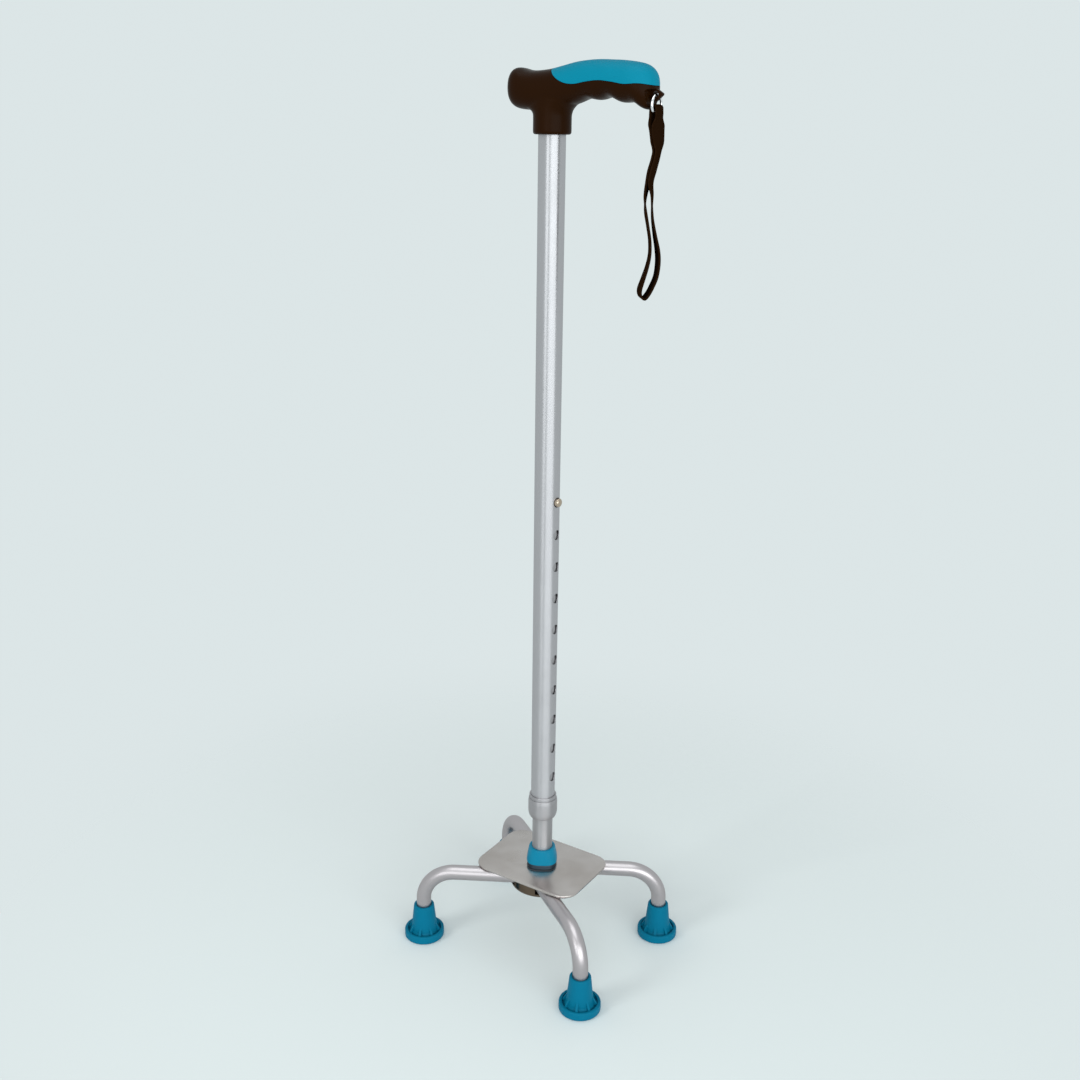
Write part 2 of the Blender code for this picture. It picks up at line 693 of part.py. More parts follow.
def make_lower_tube():
    tube = add_part(
        "lower_tube",
        tube_mesh("lower_tube", LOWER_TUBE_DIAMETER, LOWER_TUBE_BORE, LOWER_TUBE_FOOT_Z, LOWER_TUBE_TOP_Z),
        aluminium,
    )
    drill = rod_mesh("button_hole", HOLE_DIAMETER, LOWER_TUBE_DIAMETER, axis="X")
    boolean(tube, add_cutter("button_hole", drill, (0.0, 0.0, BUTTON_Z)))


def make_guide_bush():
    plug = LOWER_TUBE_BORE / 2 - GAP
    cap = LOWER_TUBE_DIAMETER / 2
    low = LOWER_TUBE_TOP_Z - BUSH_PLUG_LENGTH
    seat = LOWER_TUBE_TOP_Z + GAP
    top = seat + BUSH_CAP_THICKNESS
    hole = BUSH_HOLE_DIAMETER / 2
    profile = [(hole, top), (cap - 0.0005, top), (cap, top - 0.0005), (cap, seat), (plug, seat)]
    profile += [(plug, low), (hole, low)]
    add_part("guide_bush", turned_mesh("guide_bush", profile), black_plastic)


def make_snap_button():
    """Button and V spring in one piece. The origin is on the button's axis."""
    outer = UPPER_TUBE_DIAMETER / 2 + BUTTON_STAND_OUT
    inner_wall = math.sqrt((LOWER_TUBE_BORE / 2) ** 2 - (CLIP_STRIP_WIDTH / 2) ** 2)
    face = inner_wall - GAP
    back = -face
    half = CLIP_STRIP_THICKNESS / 2
    bend_z = -CLIP_LEAF_BELOW
    line = [Vector((face - half, CLIP_LEAF_ABOVE)), Vector((face - half, -CLIP_LEAF_ABOVE))]
    for k in range(2 * CORNER_STEPS + 1):
        turn = math.pi / 2 * k / CORNER_STEPS
        line.append(Vector((CLIP_BEND_RADIUS * math.cos(turn), bend_z - CLIP_BEND_RADIUS * math.sin(turn))))
    line.append(Vector((back + half, -CLIP_BACK_LEAF_TOP)))
    left, right = [], []
    for k, point in enumerate(line):
        along = (line[min(k + 1, len(line) - 1)] - line[max(k - 1, 0)]).normalized()
        across = Vector((-along.y, along.x)) * half
        left.append(point + across)
        right.append(point - across)
    mesh = plate_curve_mesh("snap_button_clip", left + right[::-1], CLIP_STRIP_WIDTH)
    mesh.transform(Matrix.Rotation(math.pi / 2, 4, "X"))
    clip = add_part("snap_button_clip", mesh, nickel, (0.0, 0.0, BUTTON_Z))
    radius = BUTTON_DIAMETER / 2
    start = face - half
    profile = [(0.0, outer)]
    for k in range(1, CORNER_STEPS + 1):
        turn = math.pi / 2 * k / CORNER_STEPS
        profile.append((radius * math.sin(turn), outer - BUTTON_DOME + BUTTON_DOME * math.cos(turn)))
    profile += [(radius, start), (0.0, start)]
    button = turned_mesh("snap_button", profile[::-1], SMALL_SIDES)
    button.transform(Matrix.Rotation(math.pi / 2, 4, "Y"))
    boolean(clip, add_cutter("snap_button", button, (0.0, 0.0, BUTTON_Z)), "UNION")


def make_upper_tube():
    mesh = tube_mesh("upper_tube", UPPER_TUBE_DIAMETER, UPPER_TUBE_BORE, UPPER_TUBE_FOOT_Z, UPPER_TUBE_TOP_Z)
    tube = add_part("upper_tube", mesh, aluminium)
    drill = rod_mesh("height_hole", HOLE_DIAMETER, UPPER_TUBE_DIAMETER, axis="X")
    for k in range(HOLE_COUNT):
        boolean(tube, add_cutter("height_hole_%d" % k, drill, (0.0, 0.0, LOWEST_HOLE_Z + k * HOLE_PITCH)))
    screw_hole = rod_mesh("tube_screw_hole", SCREW_DIAMETER + 2 * GAP, UPPER_TUBE_DIAMETER, axis="X")
    boolean(
        tube,
        add_cutter("tube_screw_hole", screw_hole, (-UPPER_TUBE_DIAMETER, 0.0, HANDLE_Z + SCREW_HEIGHT)),
    )


def make_collar():
    """Sleeve on the upper tube's end, the nut that turns on it and the collet inside."""
    bore = UPPER_TUBE_DIAMETER / 2 + GAP
    band = COLLAR_BAND_DIAMETER / 2
    thread = COLLAR_THREAD_DIAMETER / 2
    thread_low = COLLAR_GROOVE_Z - COLLAR_THREAD_LENGTH
    sleeve = [
        (bore, COLLAR_TOP_Z),
        (band - COLLAR_BAND_EDGE, COLLAR_TOP_Z),
        (band, COLLAR_TOP_Z - COLLAR_BAND_EDGE),
        (band, COLLAR_GROOVE_Z),
        (thread, COLLAR_GROOVE_Z),
        (thread, thread_low),
        (bore, thread_low),
    ]
    add_part("collar_sleeve", turned_mesh("collar_sleeve", sleeve), aluminium)

    nut = NUT_DIAMETER / 2
    nut_top = COLLAR_GROOVE_Z - GAP
    lip_bore = LOWER_TUBE_DIAMETER / 2 + GAP
    lip = NUT_LIP_DIAMETER / 2
    collet_low = NUT_BOTTOM_Z + NUT_FLOOR + GAP
    collet_top = thread_low - GAP
    collet_outer = LOWER_TUBE_DIAMETER / 2 + GAP + COLLET_WALL
    ledge = thread_low - GAP
    profile = [(thread + GAP, nut_top), (NUT_TOP_DIAMETER / 2, nut_top), (nut, nut_top - NUT_TAPER)]
    for k in range(2 * CORNER_STEPS + 1):
        turn = math.pi / 4 * k / CORNER_STEPS
        profile.append(
            (
                lip + (nut - lip) * math.cos(turn),
                NUT_BOTTOM_Z + NUT_ROUNDING * (1 - math.sin(turn)),
            )
        )
    profile += [(lip_bore, NUT_BOTTOM_Z), (lip_bore, collet_low - GAP)]
    profile += [(collet_outer + GAP, collet_low - GAP), (collet_outer + GAP, ledge), (thread + GAP, ledge)]
    add_part("collar_nut", turned_mesh("collar_nut", profile), aluminium)

    collet = add_part(
        "collar_collet",
        tube_mesh("collar_collet", 2 * collet_outer, 2 * lip_bore, collet_low, collet_top),
        black_plastic,
    )
    slit = bmesh.new()
    bmesh.ops.create_cube(slit, size=1.0)
    height = collet_top - collet_low
    bmesh.ops.scale(slit, vec=(4 * COLLET_WALL, COLLET_SLIT, 2 * height), verts=slit.verts)
    boolean(
        collet,
        add_cutter("collet_slit", to_mesh(slit, "collet_slit"), (-collet_outer, 0.0, collet_low + height / 2)),
    )


def grip_mesh(name, inset=0.0):
    """The grip's outer form from nose to end, or a smaller one inside it."""
    first, last = GRIP_STATIONS[0][0], GRIP_STATIONS[-1][0]
    middle, half_length = (first + last) / 2, (last - first) / 2
    shrink = (half_length - inset) / half_length
    stations = smooth_path([s[:3] for s in GRIP_STATIONS], 2)
    widths = smooth_path([(s[0], s[3], 0.0) for s in GRIP_STATIONS], 2)
    rings = []
    for (x, low, high), (_, width, _) in zip(stations, widths):
        half_height = max((high - low) / 2 - inset, (high - low) / 8)
        half_width = max(width - inset, width / 4)
        centre = HANDLE_Z + (high + low) / 2
        ring = []
        for k in range(GRIP_SECTION_POINTS):
            turn = math.tau * k / GRIP_SECTION_POINTS
            side, rise = math.cos(turn), math.sin(turn)
            power = 2 / GRIP_ROUNDNESS
            ring.append(
                (
                    middle + (x - middle) * shrink,
                    math.copysign(abs(side) ** power, side) * half_width,
                    centre + math.copysign(abs(rise) ** power, rise) * half_height,
                )
            )
        rings.append(ring)
    return loft_mesh(name, rings)


def neck_mesh():
    """The tube socket, flared into the grip: round below, long ovals above."""
    stations = [
        (0.0, NECK_RADIUS - NECK_EDGE, NECK_RADIUS - NECK_EDGE),
        (NECK_EDGE * 0.3, NECK_RADIUS - NECK_EDGE * 0.3, NECK_RADIUS - NECK_EDGE * 0.3),
        (NECK_EDGE, NECK_RADIUS, NECK_RADIUS),
        *NECK_STATIONS,
    ]
    rings = []
    for height, back, front in stations:
        half_width = min(NECK_RADIUS, back, front)
        ring = []
        for k in range(NECK_POINTS):
            turn = math.tau * k / NECK_POINTS
            reach = front if math.cos(turn) > 0 else back
            ring.append((reach * math.cos(turn), half_width * math.sin(turn), HANDLE_Z + height))
        rings.append(ring)
    return loft_mesh("handle_neck", rings)


def inlay_region_mesh(name, drop):
    """Everything above the inlay's border, as a prism across the handle."""
    border = [Vector(p) for p in INLAY_BORDER]
    line = []
    for k, point in enumerate(border):
        along = (border[min(k + 1, len(border) - 1)] - border[max(k - 1, 0)]).normalized()
        line.append(point + Vector((along.y, -along.x)) * drop)
    roof = 0.0600
    outline = [*line, Vector((line[-1].x, roof)), Vector((line[0].x, roof))]
    return side_prism_mesh(name, outline, 0.0300)


def make_handle():
    body = add_part("handle_body", grip_mesh("handle_body"), black_plastic)
    boolean(body, add_cutter("handle_neck", neck_mesh()), "UNION")
    boolean(body, add_cutter("ring_room", ring_room_mesh()))
    boolean(body, add_cutter("handle_lug", lug_mesh()), "UNION")
    bore = rod_mesh("handle_bore", UPPER_TUBE_DIAMETER + 2 * GAP, 2 * TUBE_IN_HANDLE + GAP, TUBE_SIDES)
    boolean(body, add_cutter("handle_bore", bore, (0.0, 0.0, HANDLE_Z - TUBE_IN_HANDLE)))

    pocket = add_cutter("inlay_pocket", inlay_region_mesh("inlay_pocket", GAP))
    boolean(pocket, add_cutter("inlay_pocket_core", grip_mesh("inlay_pocket_core", INLAY_THICKNESS + GAP)))
    boolean(body, pocket)
    inlay = add_part("grip_inlay", grip_mesh("grip_inlay"), teal_rubber)
    boolean(inlay, add_cutter("inlay_region", inlay_region_mesh("inlay_region", 0.0)), "INTERSECT")
    boolean(inlay, add_cutter("inlay_core", grip_mesh("inlay_core", INLAY_THICKNESS)))

    hole = rod_mesh("lug_hole", LUG_HOLE_DIAMETER, 2 * LUG_THICKNESS, axis="Y")
    boolean(body, add_cutter("lug_hole", hole, (LUG_HOLE_X, -LUG_THICKNESS, HANDLE_Z + LUG_HOLE_HEIGHT)))
    make_handle_screw(body)


def side_prism_mesh(name, outline, half_width):
    """An outline in X and height above the socket's rim, drawn out across the handle."""
    rings = [[(x, y, HANDLE_Z + z) for x, z in outline] for y in (-half_width, half_width)]
    return loft_mesh(name, rings)


def lug_mesh():
    """Wedge in the X-Z plane with a round nose, which carries the ring."""
    outline = [*LUG_TOP]
    for k in range(7):
        turn = math.radians(60 - 110 * k / 6)
        x, z = LUG_TIP
        outline.append((x + LUG_TIP_RADIUS * math.cos(turn), z + LUG_TIP_RADIUS * math.sin(turn)))
    outline += LUG_BOTTOM
    return side_prism_mesh("handle_lug", outline, LUG_THICKNESS / 2)


def ring_room_mesh():
    """Space beside the lug, where the grip's end is cut back for the ring and the strap."""
    past, corner = 0.0900, 0.0012
    outline = [
        (RING_ROOM_X, 0.0),
        (past, 0.0),
        (past, RING_ROOM_TOP),
        (RING_ROOM_X + corner, RING_ROOM_TOP),
        (RING_ROOM_X, RING_ROOM_TOP - corner),
    ]
    return side_prism_mesh("ring_room", outline, NECK_RADIUS)


def make_handle_screw(body):
    """Screw on the nose side, through the socket's wall into the tube."""
    z = HANDLE_Z + SCREW_HEIGHT
    start = -NECK_RADIUS - GAP
    recess = rod_mesh("screw_recess", SCREW_HEAD_DIAMETER + 2 * GAP, 2 * SCREW_HEAD_HEIGHT + GAP, axis="X")
    boolean(body, add_cutter("screw_recess", recess, (start - SCREW_HEAD_HEIGHT, 0.0, z)))
    way = rod_mesh("screw_way", SCREW_DIAMETER + 2 * GAP, NECK_RADIUS, axis="X")
    boolean(body, add_cutter("screw_way", way, (start, 0.0, z)))
    shank_start = start + SCREW_HEAD_HEIGHT / 2
    shank = rod_mesh("handle_screw", SCREW_DIAMETER, SCREW_LENGTH - SCREW_HEAD_HEIGHT / 2, axis="X")
    screw = add_part("handle_screw", shank, steel, (shank_start, 0.0, z))
    head = rod_mesh("screw_head", SCREW_HEAD_DIAMETER, SCREW_HEAD_HEIGHT, axis="X")
    boolean(screw, add_cutter("screw_head", head, (start, 0.0, z)), "UNION")


def make_ring():
    """Torus in the Y-Z plane. The origin is in the lug's hole, where it swings."""
    rings = []
    for k in range(TUBE_SIDES):
        turn = math.tau * k / TUBE_SIDES
        out = Vector((0.0, math.sin(turn), math.cos(turn)))
        centre = out * RING_RADIUS - Vector((0.0, 0.0, RING_RADIUS))
        rings.append(
            [
                centre
                + out * RING_WIRE / 2 * math.cos(math.tau * j / RING_WIRE_SIDES)
                + Vector((RING_WIRE / 2 * math.sin(math.tau * j / RING_WIRE_SIDES), 0.0, 0.0))
                for j in range(RING_WIRE_SIDES)
            ]
        )
    add_part("strap_ring", loft_mesh("strap_ring", rings, True), chrome, (LUG_HOLE_X, 0.0, RING_TOP_Z))


def strap_stations():
    """Middle points of the tape all the way round: sideways shift, depth and turn."""
    layer = (TAPE_THICKNESS + TAPE_LAYER_GAP) / 2
    fold = RING_WIRE / 2 + TAPE_PLAY + TAPE_THICKNESS / 2
    front = [(fold, 0.0, 0), (fold * 0.9, 0.0038, 0)]
    back = [(-fold * 0.9, 0.0038, 0), (-fold, 0.0, 0)]
    over = []
    for k in range(1, 8):
        turn = math.pi * k / 8
        over.append((-fold * math.cos(turn), -TAPE_FOLD_RISE - fold * math.sin(turn), 0))
    down = [(x + layer, depth, turn) for x, depth, turn in STRAP_STEM] + list(STRAP_DOWN)
    up = list(STRAP_UP) + [(x - layer, depth, turn) for x, depth, turn in reversed(STRAP_STEM)]
    return smooth_path(front + down + up + back + over, TAPE_STEPS)


def strap_width(depth):
    """The tape is bunched in the ring and flat below it."""
    share = min(max((depth - 0.0015) / 0.0060, 0.0), 1.0)
    return TAPE_FOLD_WIDTH + (TAPE_WIDTH - TAPE_FOLD_WIDTH) * share * share * (3 - 2 * share)


def make_strap():
    """One tape, folded over the ring and sewn to itself, turning as it hangs. Origin on the wire."""
    line = strap_stations()
    rings = []
    for k, point in enumerate(line):
        along = (line[(k + 1) % len(line)] - line[k - 1]).xy.normalized()
        across = Vector((-along.y, along.x)) * TAPE_THICKNESS / 2
        half = strap_width(point.y) / 2
        turned = Matrix.Rotation(math.radians(point.z), 4, "Z")
        ring = []
        for u, w in ((1, 1), (1, -1), (-1, -1), (-1, 1)):
            flat = point.xy + across * u
            ring.append(turned @ Vector((flat.x, w * half, -flat.y)))
        rings.append(ring)
    add_part("wrist_strap", loft_mesh("wrist_strap", rings, True), webbing, (LUG_HOLE_X, 0.0, RING_LOW_Z))


FOOT_PLACES = (("left", -1, -1), ("front", 1, -1), ("right", 1, 1), ("rear", -1, 1))

clear_scene()
parts = new_collection("quad_cane")
cutters = new_collection("cutters")
black_plastic = material("black_plastic", (0.020, 0.012, 0.009), 0.45, 0.0)
teal_rubber = material("teal_rubber", (0.006, 0.210, 0.340), 0.55, 0.0)
teal_plastic = material("teal_plastic", (0.004, 0.230, 0.390), 0.35, 0.0)
aluminium = material("aluminium", (0.60, 0.60, 0.62), 0.38, 1.0)
plate_steel = material("plate_steel", (0.56, 0.54, 0.52), 0.30, 1.0)
steel = material("steel", (0.52, 0.50, 0.48), 0.30, 1.0)
nickel = material("nickel", (0.62, 0.58, 0.50), 0.22, 1.0)
chrome = material("chrome", (0.80, 0.80, 0.80), 0.10, 1.0)
webbing = material("webbing", (0.020, 0.010, 0.006), 0.80, 0.0)

make_feet()
make_legs()
make_plate()
make_socket()
make_cup()
make_clamp()
make_ferrule()
make_lower_tube()
make_guide_bush()
make_snap_button()
make_upper_tube()
make_collar()
make_handle()
make_ring()
make_strap()
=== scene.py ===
# Quad cane, dressed for a studio picture. Metres, +Z up, origin on the floor under the shaft.
import math

import bmesh
import bpy
from mathutils import Matrix, Vector


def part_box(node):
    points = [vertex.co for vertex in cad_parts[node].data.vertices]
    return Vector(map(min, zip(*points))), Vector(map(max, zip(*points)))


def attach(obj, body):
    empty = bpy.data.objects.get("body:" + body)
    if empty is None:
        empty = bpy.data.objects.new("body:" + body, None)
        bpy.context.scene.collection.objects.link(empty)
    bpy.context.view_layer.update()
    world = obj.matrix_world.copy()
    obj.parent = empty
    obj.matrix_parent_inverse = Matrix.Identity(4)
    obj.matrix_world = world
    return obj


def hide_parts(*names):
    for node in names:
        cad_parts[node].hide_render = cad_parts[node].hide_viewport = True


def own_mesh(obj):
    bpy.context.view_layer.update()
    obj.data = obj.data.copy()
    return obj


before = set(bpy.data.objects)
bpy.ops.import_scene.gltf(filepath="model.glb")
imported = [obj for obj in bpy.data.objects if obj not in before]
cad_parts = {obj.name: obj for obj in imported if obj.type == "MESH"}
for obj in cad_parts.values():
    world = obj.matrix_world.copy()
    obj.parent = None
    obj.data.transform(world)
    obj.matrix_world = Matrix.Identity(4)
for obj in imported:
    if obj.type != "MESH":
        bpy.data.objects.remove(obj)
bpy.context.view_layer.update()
print("frame loaded:", len(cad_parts), "nodes")

gap = 0.0003        # clearance between touching pieces
onAxis = 1e-7       # a radius under this is a point on the axis
fullTurn = 2 * math.pi


# Shader groups that several materials share

def shaderGroup(name, floatInputs, outputs):
    group = bpy.data.node_groups.new(name, "ShaderNodeTree")
    group.interface.new_socket("Vector", in_out="INPUT", socket_type="NodeSocketVector")
    for label, value in floatInputs.items():
        socket = group.interface.new_socket(label, in_out="INPUT", socket_type="NodeSocketFloat")
        socket.default_value = value
    for label in outputs:
        group.interface.new_socket(label, in_out="OUTPUT", socket_type="NodeSocketFloat")
    return group, group.nodes.new("NodeGroupInput"), group.nodes.new("NodeGroupOutput")


def addNode(tree, kind, inputs, **settings):
    # a node with its settings; each input is a value, or a socket to link
    node = tree.nodes.new(kind)
    for label, value in settings.items():
        setattr(node, label, value)
    for label, value in inputs.items():
        if isinstance(value, bpy.types.NodeSocket):
            tree.links.new(value, node.inputs[label])
        else:
            node.inputs[label].default_value = value
    return node


def mathNode(tree, operation, first, second=0.5, bounded=False):
    values = {0: first, 1: second}
    return addNode(tree, "ShaderNodeMath", values, operation=operation, use_clamp=bounded).outputs[0]


def noiseNode(tree, vector, scale, detail=3.0, roughness=0.55):
    values = {"Vector": vector, "Scale": scale, "Detail": detail, "Roughness": roughness}
    return addNode(tree, "ShaderNodeTexNoise", values).outputs["Fac"]


def makeMouldGrain():
    # spark-eroded texture of a mould: fine bumps, and a slow drift in gloss
    scales = {"Grain Scale": 2600.0, "Drift Scale": 45.0}
    group, entry, result = shaderGroup("mouldGrain", scales, ("Height", "Drift"))
    for scale, detail, label in (("Grain Scale", 2.0, "Height"), ("Drift Scale", 4.0, "Drift")):
        noise = noiseNode(group, entry.outputs["Vector"], entry.outputs[scale], detail)
        group.links.new(noise, result.inputs[label])
    return group


def makeMetalDrift():
    # slow change in the gloss of drawn or ground metal
    group, entry, result = shaderGroup("metalDrift", {"Drift Scale": 60.0}, ("Drift",))
    drift = noiseNode(group, entry.outputs["Vector"], entry.outputs["Drift Scale"], 4.0)
    group.links.new(drift, result.inputs["Drift"])
    return group


def makeWornEdges():
    # 1 on sharp outer edges and 0 on flats, broken up by noise
    values = {"Edge": 0.56, "Contrast": 14.0, "Break Scale": 600.0}
    group, entry, result = shaderGroup("wornEdges", values, ("Mask",))
    given = entry.outputs
    geometry = group.nodes.new("ShaderNodeNewGeometry")
    above = mathNode(group, "SUBTRACT", geometry.outputs["Pointiness"], given["Edge"])
    strong = mathNode(group, "MULTIPLY", above, given["Contrast"], True)
    patchy = noiseNode(group, given["Vector"], given["Break Scale"])
    group.links.new(mathNode(group, "MULTIPLY", strong, patchy, True), result.inputs["Mask"])
    return group


def makeTapeWeave():
    # plain weave on the tape's own UV map, which is in metres along U and across V
    sizes = {"Yarn Pitch": 0.0009, "Rib Pitch": 0.0007, "Yarn Share": 0.35, "Fuzz Scale": 900.0}
    group, entry, result = shaderGroup("tapeWeave", sizes, ("Height", "Yarn"))
    given = entry.outputs
    split = addNode(group, "ShaderNodeSeparateXYZ", {0: given["Vector"]})
    along = mathNode(group, "DIVIDE", split.outputs["X"], given["Yarn Pitch"])
    across = mathNode(group, "DIVIDE", split.outputs["Y"], given["Rib Pitch"])
    # each rib is shifted by half a yarn against the one beside it
    stagger = mathNode(group, "MULTIPLY", mathNode(group, "FLOOR", across), 0.5)
    alongTurn = mathNode(group, "MULTIPLY", mathNode(group, "ADD", along, stagger), fullTurn)
    acrossTurn = mathNode(group, "MULTIPLY", mathNode(group, "FRACT", across), math.pi)
    yarns = mathNode(group, "MULTIPLY", mathNode(group, "SINE", alongTurn), given["Yarn Share"])
    height = mathNode(group, "ADD", yarns, mathNode(group, "SINE", acrossTurn))
    fuzz = noiseNode(group, given["Vector"], given["Fuzz Scale"])
    group.links.new(height, result.inputs["Height"])
    group.links.new(mathNode(group, "MULTIPLY", height, fuzz, True), result.inputs["Yarn"])
    return group


mouldGrain = makeMouldGrain()
metalDrift = makeMetalDrift()
wornEdges = makeWornEdges()
tapeWeave = makeTapeWeave()


# Materials

def newMaterial(name, colour, roughness, metallic=0.0):
    mat = bpy.data.materials.new(name)
    mat.use_nodes = True
    shader = mat.node_tree.nodes["Principled BSDF"]
    shader.inputs["Base Color"].default_value = (*colour, 1.0)
    shader.inputs["Roughness"].default_value = roughness
    shader.inputs["Metallic"].default_value = metallic
    return mat, mat.node_tree, shader


def groupNode(tree, group, vector, **values):
    node = tree.nodes.new("ShaderNodeGroup")
    node.node_tree = group
    tree.links.new(vector, node.inputs["Vector"])
    for label, value in values.items():
        node.inputs[label.replace("_", " ")].default_value = value
    return node


def placeOutput(tree, kind="Object"):
    return tree.nodes.new("ShaderNodeTexCoord").outputs[kind]


def spread(tree, value, low, high):
    # noise, which keeps near its middle, brought to the range low to high
    values = {"Value": value, "From Min": 0.3, "From Max": 0.7, "To Min": low, "To Max": high}
    return addNode(tree, "ShaderNodeMapRange", values).outputs["Result"]


def mixColour(tree, share, first, second):
    # first and second are colours, or sockets that carry one
    inputs = {"Factor": share}
    for label, value in (("A", first), ("B", second)):
        inputs[label] = (*value, 1.0) if isinstance(value, tuple) else value
    return addNode(tree, "ShaderNodeMix", inputs, data_type="RGBA").outputs["Result"]


def addBump(tree, shader, height, distance):
    bump = addNode(tree, "ShaderNodeBump", {"Height": height, "Distance": distance, "Strength": 1.0})
    tree.links.new(bump.outputs["Normal"], shader.inputs["Normal"])


def mouldedMaterial(name, colour, worn, roughness, grainDepth, gloss=0.2, grainScale=2600.0):
    # plastic or rubber from a mould: fine grain, drifting gloss and paler edges
    mat, tree, shader = newMaterial(name, colour, roughness)
    shader.inputs["Specular IOR Level"].default_value = gloss
    place = placeOutput(tree)
    grain = groupNode(tree, mouldGrain, place, Grain_Scale=grainScale)
    edges = groupNode(tree, wornEdges, place)
    tree.links.new(mixColour(tree, edges.outputs["Mask"], colour, worn), shader.inputs["Base Color"])
    low, high = roughness - mould["glossier"], roughness + mould["duller"]
    rough = spread(tree, grain.outputs["Drift"], low, high)
    tree.links.new(rough, shader.inputs["Roughness"])
    addBump(tree, shader, grain.outputs["Height"], grainDepth)
    return mat


metal = {"tint": (0.80, 0.80, 0.80), "drift": 0.03, "unwornShare": 0.12, "stainAndShadeScale": 38.0}


def metalMaterial(name, colour, bright, roughness, stainAndShade=None, worn=True):
    # drawn or ground metal: drifting gloss, brighter edges and soft darker patches, which are stains on the
    # plate and painted shade on the cup
    mat, tree, shader = newMaterial(name, colour, roughness, 1.0)
    shader.inputs["Specular Tint"].default_value = (*metal["tint"], 1.0)
    place = placeOutput(tree)
    drift = groupNode(tree, metalDrift, place).outputs["Drift"]
    if worn:
        share = groupNode(tree, wornEdges, place).outputs["Mask"]
    else:
        share = spread(tree, drift, 0.0, metal["unwornShare"])
    # darker patches: real stains on the plate, painted shade on the cup
    if stainAndShade:
        patches = spread(tree, noiseNode(tree, place, metal["stainAndShadeScale"], 2.0), 0.0, 1.0)
        colour = mixColour(tree, patches, colour, stainAndShade)
    tree.links.new(mixColour(tree, share, colour, bright), shader.inputs["Base Color"])
    rough = spread(tree, drift, roughness - metal["drift"], roughness + metal["drift"])
    tree.links.new(rough, shader.inputs["Roughness"])
    return mat


# the bore colour is painted shade: a near-black for the inside of the tubes, seen through the holes
polish = {"anisotropic": 0.85, "rotation": 0.25, "paintedBoreShade": (0.030, 0.025, 0.020)}


def polishedTube(name, dark, *values):
    # a tube polished round its girth, so that lights draw long bands down it; within the radius dark, its
    # bore gets a near-black painted shade
    mat = metalMaterial(name, *values, worn=False)
    tree = mat.node_tree
    shader = tree.nodes["Principled BSDF"]
    shader.inputs["Anisotropic"].default_value = polish["anisotropic"]
    shader.inputs["Anisotropic Rotation"].default_value = polish["rotation"]
    girth = addNode(tree, "ShaderNodeTangent", {}, direction_type="RADIAL", axis="Z")
    tree.links.new(girth.outputs[0], shader.inputs["Tangent"])
    split = addNode(tree, "ShaderNodeSeparateXYZ", {0: placeOutput(tree)})
    squares = [mathNode(tree, "MULTIPLY", split.outputs[axis], split.outputs[axis]) for axis in ("X", "Y")]
    # painted shade: every point nearer the axis than dark gets the near-black bore colour
    inside = mathNode(tree, "LESS_THAN", mathNode(tree, "SQRT", mathNode(tree, "ADD", *squares)), dark)
    skin = shader.inputs["Base Color"].links[0].from_socket
    tree.links.new(mixColour(tree, inside, skin, polish["paintedBoreShade"]), shader.inputs["Base Color"])
    return mat


def webbingMaterial(name, colour, pale, roughness, weaveDepth):
    # matt woven tape, with paler fuzz on its yarns
    mat, tree, shader = newMaterial(name, colour, roughness)
    shader.inputs["Specular IOR Level"].default_value = 0.0
    weave = groupNode(tree, tapeWeave, placeOutput(tree, "UV"))
    tree.links.new(mixColour(tree, weave.outputs["Yarn"], colour, pale), shader.inputs["Base Color"])
    addBump(tree, shader, weave.outputs["Height"], weaveDepth)
    return mat


mould = {"glossier": 0.04, "duller": 0.05}
moulded = {
    # colour, worn colour, roughness, depth of the grain, gloss and scale of the grain
    "handlePlastic": ((0.0180, 0.0058, 0.0009), (0.040, 0.022, 0.012), 0.34, 0.00002, 0.04),
    "inlayRubber": ((0.001, 0.235, 0.355), (0.006, 0.28, 0.41), 0.50, 0.00003, 0.06),
    "footRubber": ((0.0008, 0.158, 0.270), (0.004, 0.20, 0.32), 0.50, 0.00003, 0.06, 1800.0),
    "ferrulePlastic": ((0.0008, 0.210, 0.350), (0.01, 0.27, 0.42), 0.24, 0.000001, 0.18),
    "innerNylon": ((0.030, 0.028, 0.027), (0.09, 0.09, 0.09), 0.45, 0.00002),
}
polished = {
    # radius within which the bore has painted shade, colour, bright colour and roughness
    "upperAluminium": (0.00865, (0.500, 0.482, 0.498), (0.70, 0.69, 0.70), 0.40),
    "lowerAluminium": (0.00690, (0.430, 0.412, 0.422), (0.70, 0.69, 0.70), 0.42),
    "collarAluminium": (0.0, (0.430, 0.408, 0.420), (0.72, 0.71, 0.72), 0.46),
}
metals = {
    # colour, bright colour, roughness and the colour of darker patches, stains on the plate and painted shade
    # on the cup
    "satinAluminium": ((0.48, 0.435, 0.445), (0.70, 0.68, 0.68), 0.36),
    "plateSteel": ((0.555, 0.500, 0.480), (0.80, 0.77, 0.76), 0.25, (0.46, 0.405, 0.38)),
    "groundSteel": ((0.36, 0.30, 0.25), (0.75, 0.73, 0.70), 0.22),
    # the cup's dark brown colour and its darker patches are painted shade under the plate
    "cupSteel": ((0.17, 0.125, 0.09), (0.45, 0.38, 0.32), 0.20, (0.10, 0.07, 0.05)),
    # the stub's dark blue-grey colour is painted shade and painted reflection under the ferrule
    "darkSteel": ((0.050, 0.074, 0.098), (0.20, 0.23, 0.26), 0.50),
    "nickel": ((0.50, 0.40, 0.31), (0.70, 0.62, 0.54), 0.12),
    "chrome": ((0.82, 0.82, 0.83), (0.90, 0.90, 0.90), 0.08),
}
woven = {
    # colour, colour of the fuzz, roughness and depth of the weave
    "webbing": ((0.0105, 0.0038, 0.0010), (0.028, 0.014, 0.007), 0.75, 0.00006),
}
finishes = {}
